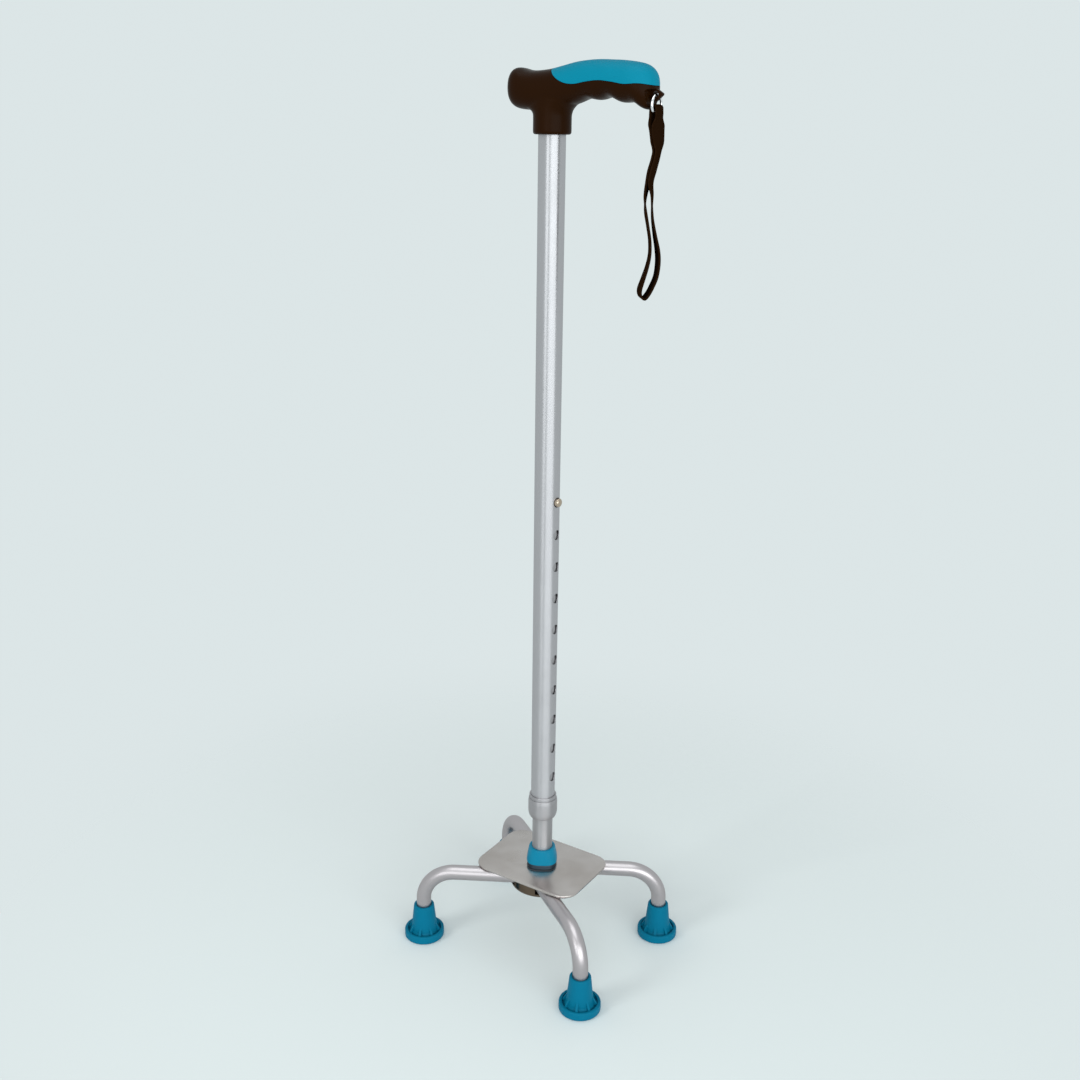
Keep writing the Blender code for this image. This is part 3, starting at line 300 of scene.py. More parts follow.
for maker, kinds in ((mouldedMaterial, moulded), (polishedTube, polished), (metalMaterial, metals),
                     (webbingMaterial, woven)):
    for name, values in kinds.items():
        finishes[name] = maker(name, *values)
print("materials made:", len(finishes))


# Mesh helpers

def meshOf(bm, name, weld=1e-6):
    bmesh.ops.remove_doubles(bm, verts=bm.verts, dist=weld)
    bmesh.ops.recalc_face_normals(bm, faces=bm.faces)
    mesh = bpy.data.meshes.new(name)
    bm.to_mesh(mesh)
    bm.free()
    return mesh


def tempObject(name, mesh):
    obj = bpy.data.objects.new(name, mesh)
    bpy.context.scene.collection.objects.link(obj)
    return obj


def drop(*objs):
    for obj in objs:
        bpy.data.objects.remove(obj, do_unlink=True)


def evaluatedMesh(obj, name):
    graph = bpy.context.evaluated_depsgraph_get()
    mesh = bpy.data.meshes.new_from_object(obj.evaluated_get(graph))
    mesh.name = name
    return mesh


def modified(mesh, *steps):
    # a mesh after modifiers, each given as (kind, settings)
    carrier = tempObject("carrier", mesh)
    for kind, settings in steps:
        step = carrier.modifiers.new(kind, kind)
        for label, value in settings.items():
            setattr(step, label, value)
    result = evaluatedMesh(carrier, mesh.name)
    drop(carrier)
    return result


def cutMesh(mesh, *steps):
    # Booleans on a mesh; each step is (operation, cutter mesh)
    tools = [tempObject("cutter", cutter) for _, cutter in steps]
    cuts = []
    for (operation, _), tool in zip(steps, tools):
        cuts.append(("BOOLEAN", {"operation": operation, "solver": "EXACT", "object": tool}))
    result = modified(mesh, *cuts)
    drop(*tools)
    return result


def joinMeshes(name, *meshes):
    bm = bmesh.new()
    for mesh in meshes:
        bm.from_mesh(mesh)
    joined = bpy.data.meshes.new(name)
    bm.to_mesh(joined)
    bm.free()
    return joined


def addPiece(name, mesh, finish, body, slot, *nodes, angle=32.0):
    # a finished piece: its place is in its mesh, and it stands for the CAD nodes that it names
    mesh.name = name
    mesh.materials.clear()
    mesh.materials.append(finishes[finish])
    mesh.shade_smooth()
    mesh.set_sharp_from_angle(angle=math.radians(angle))
    obj = tempObject(name, mesh)
    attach(obj, body)
    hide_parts(*nodes)
    return obj


def circle(count):
    # cosine and sine of each of count even turns
    return [(math.cos(fullTurn * k / count), math.sin(fullTurn * k / count)) for k in range(count)]


def turns(angle, steps):
    # even turns from 0 to an angle
    return [angle * k / steps for k in range(steps + 1)]


def heading(line, k):
    # direction of a line of points at its point k
    return (line[min(k + 1, len(line) - 1)] - line[max(k - 1, 0)]).normalized()


def loftRings(name, rings, closed=False):
    # a skin over rings of points, with flat ends unless it closes on itself
    bm = bmesh.new()
    loops = [[bm.verts.new(point) for point in ring] for ring in rings]
    pairs = list(zip(loops, loops[1:]))
    if closed:
        pairs.append((loops[-1], loops[0]))
    for lower, upper in pairs:
        for i in range(len(lower)):
            j = (i + 1) % len(lower)
            bm.faces.new((lower[i], lower[j], upper[j], upper[i]))
    if not closed:
        bm.faces.new(loops[0])
        bm.faces.new(loops[-1])
    return meshOf(bm, name)


def turned(name, outline, sides=96, at=(0.0, 0.0)):
    # a closed outline of (radius, height) points turned about Z; points on the axis stay single
    bm = bmesh.new()
    rings = []
    for radius, height in outline:
        spots = [(*at, height)]
        if radius > onAxis:
            spots = [(at[0] + radius * c, at[1] + radius * s, height) for c, s in circle(sides)]
        rings.append([bm.verts.new(spot) for spot in spots])
    for lower, upper in zip(rings, rings[1:] + rings[:1]):
        if len(lower) == 1 and len(upper) == 1:
            continue
        for i in range(sides):
            j = (i + 1) % sides
            corners = [lower[i % len(lower)], lower[j % len(lower)]]
            corners += [upper[j % len(upper)], upper[i % len(upper)]]
            bm.faces.new(list(dict.fromkeys(corners)))
    return meshOf(bm, name)


def rounded(outline, steps=5):
    # replaces each (x, y, radius) corner of a closed outline by a small curve
    points = []
    count = len(outline)
    for k, (x, y, radius) in enumerate(outline):
        corner = Vector((x, y))
        if radius <= 0.0:
            points.append((x, y))
            continue
        before = Vector(outline[k - 1][:2]) - corner
        after = Vector(outline[(k + 1) % count][:2]) - corner
        opening = before.angle(after)
        reach = min(radius / math.tan(opening / 2), before.length * 0.5, after.length * 0.5)
        start, end = corner + before.normalized() * reach, corner + after.normalized() * reach
        for i in range(steps + 1):
            t = i / steps
            spot = start * (1 - t) ** 2 + corner * 2 * t * (1 - t) + end * t * t
            points.append((spot.x, spot.y))
    return points


def smoothPath(points, steps):
    # Catmull-Rom curve through the points
    points = [Vector(p) for p in points]
    ends = [2 * points[0] - points[1]] + points + [2 * points[-1] - points[-2]]
    path = []
    for p0, p1, p2, p3 in zip(ends, ends[1:], ends[2:], ends[3:]):
        for k in range(steps):
            t = k / steps
            path.append(0.5 * (2 * p1 + (p2 - p0) * t + (2 * p0 - 5 * p1 + 4 * p2 - p3) * t * t
                               + (3 * p1 - p0 - 3 * p2 + p3) * t ** 3))
    return path + [points[-1]]


def sweep(name, path, radii, sides=40):
    # a round section along a path; radii is one radius, or an outer and an inner one for a tube
    tangents = [heading(path, k) for k in range(len(path))]
    side = tangents[0].orthogonal().normalized()
    frames = []
    for tangent in tangents:
        side = (side - tangent * side.dot(tangent)).normalized()
        frames.append((side, tangent.cross(side)))
    walls = []
    for radius in radii:
        rings = []
        for spot, (u, w) in zip(path, frames):
            rings.append([spot + u * radius * c + w * radius * s for c, s in circle(sides)])
        walls.append(rings)
    if len(walls) == 1:
        return loftRings(name, walls[0])
    return loftRings(name, walls[0] + walls[1][::-1], closed=True)


def rod(name, start, end, radius, sides=32):
    return sweep(name, [Vector(start), Vector(end)], (radius,), sides)


# Geometry Nodes helpers: what repeats is made by a tree, then kept as a plain mesh

def repeatTree(name, sizes):
    tree = bpy.data.node_groups.new(name, "GeometryNodeTree")
    tree.interface.new_socket("Geometry", in_out="INPUT", socket_type="NodeSocketGeometry")
    sockets = {float: "NodeSocketFloat", int: "NodeSocketInt"}
    for label, value in sizes.items():
        socket = sockets.get(type(value), "NodeSocketMaterial")
        tree.interface.new_socket(label, in_out="INPUT", socket_type=socket)
    tree.interface.new_socket("Geometry", in_out="OUTPUT", socket_type="NodeSocketGeometry")
    return tree, tree.nodes.new("NodeGroupInput"), tree.nodes.new("NodeGroupOutput")


def closeTree(tree, entry, result, instances):
    realize = addNode(tree, "GeometryNodeRealizeInstances", {0: instances})
    painted = {"Geometry": realize.outputs[0], "Material": entry.outputs["Material"]}
    paint = addNode(tree, "GeometryNodeSetMaterial", painted)
    tree.links.new(paint.outputs[0], result.inputs[0])


def runTree(tree, name, values):
    carrier = tempObject(name, bpy.data.meshes.new("empty"))
    step = carrier.modifiers.new(name, "NODES")
    step.node_group = tree
    for item in tree.interface.items_tree:
        if item.in_out == "INPUT" and item.name in values:
            step[item.identifier] = values[item.name]
    mesh = evaluatedMesh(carrier, name)
    carrier.modifiers.remove(step)
    drop(carrier)
    return mesh


# Shaft: two drawn tubes, with a row of drilled holes in the upper one

shaft = {
    "holeCount": 10,
    "holePitch": 0.0254,
    "holeDiameter": 0.0076,
    "lowestHole": 0.0303,       # above the upper tube's foot
    "edge": 0.00025,
    "upperWall": 0.0010,
    "lowerWall": 0.0014,
    "sides": 128,
    "wallFacing": 0.99,         # how squarely a face looks outwards to count as the outer wall
    "wallDepth": 0.00005,
}


def makeHoleRow():
    sizes = {"Count": 1, "Pitch": 0.1, "Radius": 0.1, "Depth": 0.1, "First": 0.1, "Material": None}
    tree, entry, result = repeatTree("heightHoles", sizes)
    given = entry.outputs
    start = addNode(tree, "ShaderNodeCombineXYZ", {"Z": given["First"]})
    step = addNode(tree, "ShaderNodeCombineXYZ", {"Z": given["Pitch"]})
    spots = {"Count": given["Count"], "Start Location": start.outputs[0], "Offset": step.outputs[0]}
    line = addNode(tree, "GeometryNodeMeshLine", spots)
    cylinder = {"Vertices": 32, "Radius": given["Radius"], "Depth": given["Depth"]}
    drill = addNode(tree, "GeometryNodeMeshCylinder", cylinder)
    place = addNode(tree, "ShaderNodeCombineXYZ", {"X": mathNode(tree, "DIVIDE", given["Depth"], 2.0)})
    lying = {"Geometry": drill.outputs["Mesh"], "Rotation": (0.0, math.pi / 2, 0.0)}
    shift = addNode(tree, "GeometryNodeTransform", {**lying, "Translation": place.outputs[0]})
    copied = {"Points": line.outputs["Mesh"], "Instance": shift.outputs[0]}
    copies = addNode(tree, "GeometryNodeInstanceOnPoints", copied)
    closeTree(tree, entry, result, copies.outputs[0])
    return tree


def roundNormals(obj, radius):
    # the drilled wall keeps the normals of a true cylinder, so that no facet shows beside a hole
    mesh = obj.data
    normals = [Vector(corner.vector) for corner in mesh.corner_normals]
    for polygon in mesh.polygons:
        outward = Vector((polygon.center.x, polygon.center.y, 0.0)).normalized()
        if polygon.normal.dot(outward) < shaft["wallFacing"]:
            continue
        for i in polygon.loop_indices:
            spot = mesh.vertices[mesh.loops[i].vertex_index].co
            if spot.xy.length > radius - shaft["wallDepth"]:
                normals[i] = Vector((spot.x, spot.y, 0.0)).normalized()
    mesh.normals_split_custom_set(normals)


def tubeOutline(outer, bore, low, high, edge):
    return rounded([(outer, low, edge), (outer, high, edge), (bore, high, edge), (bore, low, edge)], 3)


def makeTube(name, node, wall, finish, body, holes):
    # one drawn tube, with holes cut in its wall
    low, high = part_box(node)
    outline = tubeOutline(high.x, high.x - wall, low.z, high.z, shaft["edge"])
    tube = cutMesh(turned(name, outline, shaft["sides"]), ("DIFFERENCE", holes))
    roundNormals(addPiece(name, tube, finish, body, "aluminium_tube", node), high.x)


def makeShaft():
    low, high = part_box("upper_tube")
    radius = shaft["holeDiameter"] / 2
    values = {
        "Count": shaft["holeCount"], "Pitch": shaft["holePitch"], "Radius": radius, "Depth": 2 * high.x,
        "First": low.z + shaft["lowestHole"], "Material": finishes["satinAluminium"],
    }
    holes = runTree(makeHoleRow(), "heightHoles", values)
    makeTube("upper_shaft_tube", "upper_tube", shaft["upperWall"], "upperAluminium", "upper_shaft", holes)
    reach, z = 2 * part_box("lower_tube")[1].x, buttonHeight()
    holes = rod("buttonHole", (0, 0, z), (reach, 0, z), radius)
    makeTube("lower_shaft_tube", "lower_tube", shaft["lowerWall"], "lowerAluminium", "base", holes)


def buttonHeight():
    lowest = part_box("upper_tube")[0].z + shaft["lowestHole"]
    return lowest + (shaft["holeCount"] - 1) * shaft["holePitch"]


makeShaft()
print("shaft made")


# Snap button with its V spring, and the bush on the lower tube

button = {
    "diameter": 0.0066,
    "dome": 0.0016,
    "stripWidth": 0.0060,
    "stripThickness": 0.0006,
    "leafAbove": 0.0060,
    "leafBelow": 0.0320,
    "bendRadius": 0.0024,
    "backLeafTop": 0.0100,
    "travel": 0.0043,
    "bendSteps": 16,
    "domeSteps": 12,
    "sides": 48,
}


def makeButton():
    low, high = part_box("snap_button_clip")
    z, radius = buttonHeight(), button["diameter"] / 2
    half = button["stripThickness"] / 2
    front = -low.x - half
    line = [Vector((front, 0.0, z + rise)) for rise in (button["leafAbove"], -button["leafAbove"])]
    for turn in turns(math.pi, button["bendSteps"]):
        bend = z - button["leafBelow"] - button["bendRadius"] * math.sin(turn)
        line.append(Vector((button["bendRadius"] * math.cos(turn), 0.0, bend)))
    line.append(Vector((-front, 0.0, z - button["backLeafTop"])))
    wide = Vector((0.0, button["stripWidth"] / 2, 0.0))
    rings = []
    for k, spot in enumerate(line):
        along = heading(line, k)
        across = Vector((-along.z, 0.0, along.x)) * half
        rings.append([spot + across + wide, spot - across + wide, spot - across - wide, spot + across - wide])
    outline = [(0.0, high.x)]
    for turn in turns(math.pi / 2, button["domeSteps"])[1:]:
        outline.append((radius * math.sin(turn), high.x - button["dome"] * (1 - math.cos(turn))))
    dome = turned("buttonDome", outline + [(radius, front), (0.0, front)], button["sides"])
    dome.transform(Matrix.Translation((0.0, 0.0, z)) @ Matrix.Rotation(math.pi / 2, 4, "Y"))
    mesh = cutMesh(loftRings("buttonSpring", rings), ("UNION", dome))
    piece = addPiece("snap_button", mesh, "nickel", "snap_button", "nickel", "snap_button_clip")
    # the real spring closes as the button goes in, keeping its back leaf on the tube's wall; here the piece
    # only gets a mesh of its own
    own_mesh(piece)


def smoothedNode(node, name, body):
    # a hidden nylon piece keeps the frame's shape, whose loose triangles are merged
    bm = bmesh.new()
    bm.from_mesh(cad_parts[node].data)
    addPiece(name, meshOf(bm, name, weld=2e-6), "innerNylon", body, "black_plastic", node)


makeButton()
smoothedNode("guide_bush", "inner_guide_bush", "base")
print("snap button made")


# Locking collar

collar = {
    "bandTop": 0.1330,
    "grooveHeight": 0.1300,
    "bandDiameter": 0.0217,
    "threadDiameter": 0.0206,
    "nutTopDiameter": 0.0225,
    "nutDiameter": 0.0234,
    "nutTaper": 0.0030,
    "nutRounding": 0.0070,
    "lipDiameter": 0.0180,
    "lipRing": 0.0006,
    "floor": 0.0020,
    "colletWall": 0.0011,
    "fit": 0.00008,
    "edge": 0.0002,
    "bandEdge": 0.0010,
    "nutShoulder": 0.0040,
    "nutSteps": 13,
    "sides": 128,
}


def makeCollar():
    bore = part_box("upper_tube")[1].x + collar["fit"]
    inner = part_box("lower_tube")[1].x + gap
    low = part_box("collar_sleeve")[0].z
    edge, bandTop, groove = collar["edge"], collar["bandTop"], collar["grooveHeight"]
    band, thread = collar["bandDiameter"] / 2, collar["threadDiameter"] / 2
    outline = rounded([
        (bore, bandTop, edge), (band, bandTop, collar["bandEdge"]), (band, groove, 2 * edge),
        (thread, groove, 0.0), (thread, low, edge), (bore, low, edge),
    ])
    sleeve = turned("collarSleeve", outline, collar["sides"])
    addPiece("collar_band", sleeve, "collarAluminium", "upper_shaft", "aluminium_tube", "collar_sleeve")

    bottom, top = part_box("collar_nut")[0].z, groove - collar["fit"]
    nut, lip = collar["nutDiameter"] / 2, collar["lipDiameter"] / 2
    seat, ledge = bottom + collar["floor"], low - gap
    pocket = inner + collar["colletWall"] + gap
    outline = [(thread + gap, top, edge / 2), (collar["nutTopDiameter"] / 2, top, 3 * edge)]
    outline.append((nut, top - collar["nutTaper"], collar["nutShoulder"]))
    for turn in turns(math.pi / 2, collar["nutSteps"])[1:-1]:
        height = bottom + collar["nutRounding"] * (1 - math.sin(turn))
        outline.append((lip + (nut - lip) * math.cos(turn), height, 0.0))
    outline += [(lip, bottom + collar["lipRing"], 0.0), (lip, bottom, 2 * edge), (inner, bottom, edge)]
    outline += [(inner, seat, 0.0), (pocket, seat, 0.0), (pocket, ledge, 0.0), (thread + gap, ledge, 0.0)]
    mesh = turned("collarNut", rounded(outline), collar["sides"])
    addPiece("collar_barrel", mesh, "collarAluminium", "lock_nut", "aluminium_tube", "collar_nut")
    smoothedNode("collar_collet", "inner_collet", "upper_shaft")


makeCollar()
print("collar made")


# Ferrule and the square stub under it

foot = {
    "ferruleSide": 0.0250,
    "ferruleTop": 0.0214,
    "rim": 0.0008,
    "stubSide": 0.0240,
    "stubEdge": 0.0009,
    "turn": math.radians(33),
    "squareness": 2.9,
    "sides": 128,
    "ferruleEdge": 0.0003,
    "loft": 1.3,                # how late the square turns round on the way up
    "loftSteps": 12,
    "rimSteps": 8,
    "rimTurn": math.radians(94.5),
    "stubSteps": 5,
    "boreSides": 96,
}
clamp = {
    "hole": 0.0086,
    "boltDiameter": 0.0080,
    "headHeight": 0.0053,
    "headAcross": 0.0142,
    "headInset": 0.0007,
    "headEdge": 0.0005,
    "shankEdge": 0.0006,
    "washerEdge": 0.0003,
    "sides": 48,
    "washerSides": 64,
}
# inset and rise of each step of a small rounded edge, as shares of it
edgeSteps = ((1.0, 0.0), (0.3, 0.3), (0.0, 1.0))
quarters = ((1, 1), (-1, 1), (-1, -1), (1, -1))


def squareReach(side, turn):
    power = foot["squareness"]
    return side / 2 / (abs(math.cos(turn)) ** power + abs(math.sin(turn)) ** power) ** (1 / power)


def squareRing(side, diameter, share, shrink, z):
    # a ring between a rounded square, at share 0, and a circle
    ring = []
    for k in range(foot["sides"]):
        turn = fullTurn * k / foot["sides"]
        square = squareReach(side, turn)
        reach = square + (diameter / 2 - square) * share - shrink
        turn += foot["turn"]
        ring.append((reach * math.cos(turn), reach * math.sin(turn), z))
    return ring


def boltHole(low, high, edge):
    return rod("boltHole", (0, 0, low - edge), (0, 0, high + edge), clamp["hole"] / 2, clamp["sides"])


def makeFerrule():
    low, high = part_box("base_ferrule")
    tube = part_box("lower_tube")[1].x
    side, top, rim, edge = foot["ferruleSide"], foot["ferruleTop"], foot["rim"], foot["ferruleEdge"]
    start, shoulder = low.z + edge, high.z - rim
    rings = []
    for inset, rise in edgeSteps[:2]:
        rings.append(squareRing(side, top, 0.0, edge * inset, low.z + edge * rise))
    for k in range(foot["loftSteps"] + 1):
        share = k / foot["loftSteps"]
        height = start + (shoulder - start) * share
        rings.append(squareRing(side, top, share ** foot["loft"], 0.0, height))
    for turn in turns(foot["rimTurn"], foot["rimSteps"])[1:]:
        height = shoulder + rim * math.sin(turn)
        rings.append(squareRing(side, top, 1.0, rim * (1 - math.cos(turn)), height))
    bore = rod("ferruleBore", (0, 0, low.z - rim), (0, 0, high.z + rim), tube + gap, foot["boreSides"])
    mesh = cutMesh(loftRings("ferrule", rings), ("DIFFERENCE", bore))
    addPiece("ferrule", mesh, "ferrulePlastic", "base", "teal_plastic", "base_ferrule", angle=40)


def makeStub():
    low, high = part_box("base_socket")
    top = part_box("base_ferrule")[0].z - gap
    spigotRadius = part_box("lower_tube")[1].x - shaft["lowerWall"] - gap
    side, edge = foot["stubSide"], foot["stubEdge"]
    rings = [squareRing(side, side, 0.0, 0.0, low.z)]
    for turn in turns(math.pi / 2, foot["stubSteps"]):
        height = top - edge * (1 - math.sin(turn))
        rings.append(squareRing(side, side, 0.0, edge * (1 - math.cos(turn)), height))
    spigot = rod("spigot", (0, 0, top - edge), (0, 0, high.z), spigotRadius, foot["boreSides"])
    drill = boltHole(low.z, high.z, edge)
    mesh = cutMesh(loftRings("stub", rings), ("UNION", spigot), ("DIFFERENCE", drill))
    # the stub's dark colour is painted shade and painted reflection under the ferrule
    addPiece("steel_stub", mesh, "darkSteel", "base", "steel", "base_socket", angle=60)


makeFerrule()
makeStub()
print("ferrule and stub made")


# Base plate, cup and clamping bolt

plate = {
    "length": 0.0933,
    "width": 0.0680,
    "corner": 0.0135,
    "edge": 0.0005,
    "turn": math.radians(2.5),
}
cup = {"diameter": 0.0520, "wall": 0.0016, "floor": 0.0034, "corner": 0.0040}


def roundedRectangle(length, width, radius, perCorner=14):
    points = []
    for quarter, (sx, sy) in enumerate(quarters):
        for k in range(perCorner + 1):
            turn = math.pi / 2 * (quarter + k / perCorner)
            x = sx * (length / 2 - radius) + radius * math.cos(turn)
            points.append((x, sy * (width / 2 - radius) + radius * math.sin(turn)))
    return points


def makePlate():
    low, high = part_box("base_plate")
    edge = plate["edge"]
    levels = [(edge * inset, low.z + edge * rise) for inset, rise in edgeSteps]
    levels += [(edge * inset, high.z - edge * rise) for inset, rise in reversed(edgeSteps)]
    rings = []
    for inset, z in levels:
        length, width = plate["length"] - 2 * inset, plate["width"] - 2 * inset
        rings.append([(x, y, z) for x, y in roundedRectangle(length, width, plate["corner"] - inset)])
    mesh = cutMesh(loftRings("plate", rings), ("DIFFERENCE", boltHole(low.z, high.z, edge)))
    mesh.transform(Matrix.Rotation(plate["turn"], 4, "Z"))
    addPiece("plate", mesh, "plateSteel", "base", "plate_steel", "base_plate", angle=50)


def makeCup():
    low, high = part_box("base_cup")
    outer, wall, corner = cup["diameter"] / 2, cup["wall"], cup["corner"]
    hole, floorZ = clamp["hole"] / 2, low.z + cup["floor"]
    outline = rounded([
        (outer - wall, high.z, 0.0004), (outer, high.z, 0.0004), (outer, low.z, corner),
        (hole, low.z, 0.0003), (hole, floorZ, 0.0003), (outer - wall, floorZ, corner - wall),
    ], 8)
    notches = [("DIFFERENCE", legNotch(side)) for side in (-1, 1)]
    mesh = cutMesh(turned("cup", outline, 128), *notches)
    # the cup's dark colour is painted shade under the plate
    addPiece("clamp_cup", mesh, "cupSteel", "base", "steel", "base_cup")


def makeBolt():
    low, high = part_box("base_bolt")
    radius, across, edge = clamp["boltDiameter"] / 2, clamp["headAcross"] / 2, clamp["headEdge"]
    headTop, inside = low.z + clamp["headHeight"], low.z + clamp["headHeight"] / 2
    rings = []
    for inset, z in ((clamp["headInset"], low.z), (0.0, low.z + edge), (0.0, headTop)):
        rings.append([((across - inset) * c, (across - inset) * s, z) for c, s in circle(6)])
    outline = [(0.0, inside, 0.0), (radius, inside, 0.0)]
    outline += [(radius, high.z, clamp["shankEdge"]), (0.0, high.z, 0.0)]
    shank = turned("boltShank", rounded(outline), clamp["sides"])
    mesh = cutMesh(loftRings("boltHead", rings), ("UNION", shank))
    addPiece("clamp_bolt", mesh, "groundSteel", "base", "steel", "base_bolt")
    for node, name in (("lock_washer", "clamp_washer"), ("base_spacer", "clamp_spacer")):
        low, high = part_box(node)
        outline = tubeOutline(high.x, clamp["hole"] / 2, low.z, high.z, clamp["washerEdge"])
        addPiece(name, turned(name, outline, clamp["washerSides"]), "groundSteel", "base", "steel", node)


# Bent legs

leg = {
    "diameter": 0.0120,
    "wall": 0.0012,
    "bendRadius": 0.0260,
    "meetingY": 0.0100,
    "middleRadius": 0.0300,
    "bendSteps": 18,
    "middleSteps": 8,
    "sides": 48,
}
rubber = {
    "halfX": 0.0783,
    "halfY": 0.0585,
    "height": 0.0290,
    "rimDiameter": 0.0325,
    "rimHeight": 0.0066,
    "rimWall": 0.0026,
    "rimRounding": 0.0018,
    "coneTop": 0.0166,
    "coneBase": 0.0202,
    "flare": 0.0246,
    "trough": 0.0042,
    "floor": 0.0060,
    "ribs": 8,
    "ribWidth": 0.0018,
    "ribDepth": 0.0030,
    "ribTop": 0.0116,
    # outer radius and inner radius of each groove in the sole
    "soleGrooves": ((0.0136, 0.0120), (0.0096, 0.0080), (0.0056, 0.0)),
    "grooveDepth": 0.0008,
    "washerHole": 0.0050,
    "washerEdge": 0.0002,
    "washerSides": 48,
    "sides": 96,
    "knee": (0.30, 0.36),       # where the flare bends, as shares of its reach and its height
    "grooveEdge": 0.0002,
    "ribDrop": 0.0010,
    "ribOverlap": 0.0025,
}


def legPath(side):
    spot = Vector((rubber["halfX"], rubber["halfY"], 0.0))
    inward = Vector((-rubber["halfX"], leg["meetingY"] - rubber["halfY"], 0.0)).normalized()
    up = Vector((0.0, 0.0, 1.0))
    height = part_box("base_plate")[0].z - gap - leg["diameter"] / 2
    half = [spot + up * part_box("front_leg_tube")[0].z]
    radius = leg["bendRadius"]
    centre = spot + inward * radius + up * (height - radius)
    for turn in turns(math.pi / 2, leg["bendSteps"]):
        half.append(centre - inward * radius * math.cos(turn) + up * radius * math.sin(turn))
    slope = math.atan2(-inward.y, -inward.x)
    middle = Vector((0.0, leg["meetingY"] + leg["middleRadius"] / math.cos(slope), height))
    for turn in reversed(turns(slope, leg["middleSteps"])):
        half.append(middle + leg["middleRadius"] * Vector((math.sin(turn), -math.cos(turn), 0.0)))
    other = [Vector((-p.x, p.y, p.z)) for p in reversed(half[:-1])]
    return [Vector((p.x, side * p.y, p.z)) for p in half + other]


def legNotch(side):
    # room for one leg tube in the cup's wall
    half = leg["diameter"] / 2 + gap
    bottom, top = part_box("base_cup")[0].z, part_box("base_plate")[1].z
    low = bottom + cup["floor"] + gap
    path = [p for p in legPath(side) if p.z > bottom + leg["diameter"] / 2]
    rings = []
    for k, spot in enumerate(path):
        along = heading(path, k)
        across = Vector((-along.y, along.x, 0.0)).normalized() * half
        left, right = spot + across, spot - across
        corners = ((left, low), (right, low), (right, top), (left, top))
        rings.append([(corner.x, corner.y, z) for corner, z in corners])
    return loftRings("legNotch", rings)


def makeLegs():
    outer = leg["diameter"] / 2
    for name, node, side in (("front_leg", "front_leg_tube", -1), ("rear_leg", "rear_leg_tube", 1)):
        mesh = sweep(name, legPath(side), (outer, outer - leg["wall"]), leg["sides"])
        addPiece(name, mesh, "satinAluminium", "base", "aluminium_tube", node)


makePlate()
makeCup()
makeBolt()
makeLegs()
print("base made")


# Rubber tips: a turned body, and a ring of ribs between its cone and its rim

def makeRibTree():
    sizes = dict.fromkeys(("Radius", "Width", "Depth", "Height", "Lean"), 0.01)
    tree, entry, result = repeatTree("footRibs", {"Count": 8, **sizes, "Material": None})
    given = entry.outputs
    rim = addNode(tree, "GeometryNodeMeshCircle", {"Vertices": given["Count"], "Radius": given["Radius"]})
    sides = {"X": given["Depth"], "Y": given["Width"], "Z": given["Height"]}
    size = addNode(tree, "ShaderNodeCombineXYZ", sides)
    block = addNode(tree, "GeometryNodeMeshCube", {"Size": size.outputs[0]})
    lean = addNode(tree, "ShaderNodeCombineXYZ", {"Y": given["Lean"]})
    leaning = {"Geometry": block.outputs["Mesh"], "Rotation": lean.outputs[0]}
    tilt = addNode(tree, "GeometryNodeTransform", leaning)
    outward = {"Vector": addNode(tree, "GeometryNodeInputPosition", {}).outputs[0]}
    facing = addNode(tree, "FunctionNodeAlignEulerToVector", outward, axis="X", pivot_axis="Z")
    copied = {"Points": rim.outputs["Mesh"], "Instance": tilt.outputs[0], "Rotation": facing.outputs[0]}
    copies = addNode(tree, "GeometryNodeInstanceOnPoints", copied)
    closeTree(tree, entry, result, copies.outputs[0])
    return tree


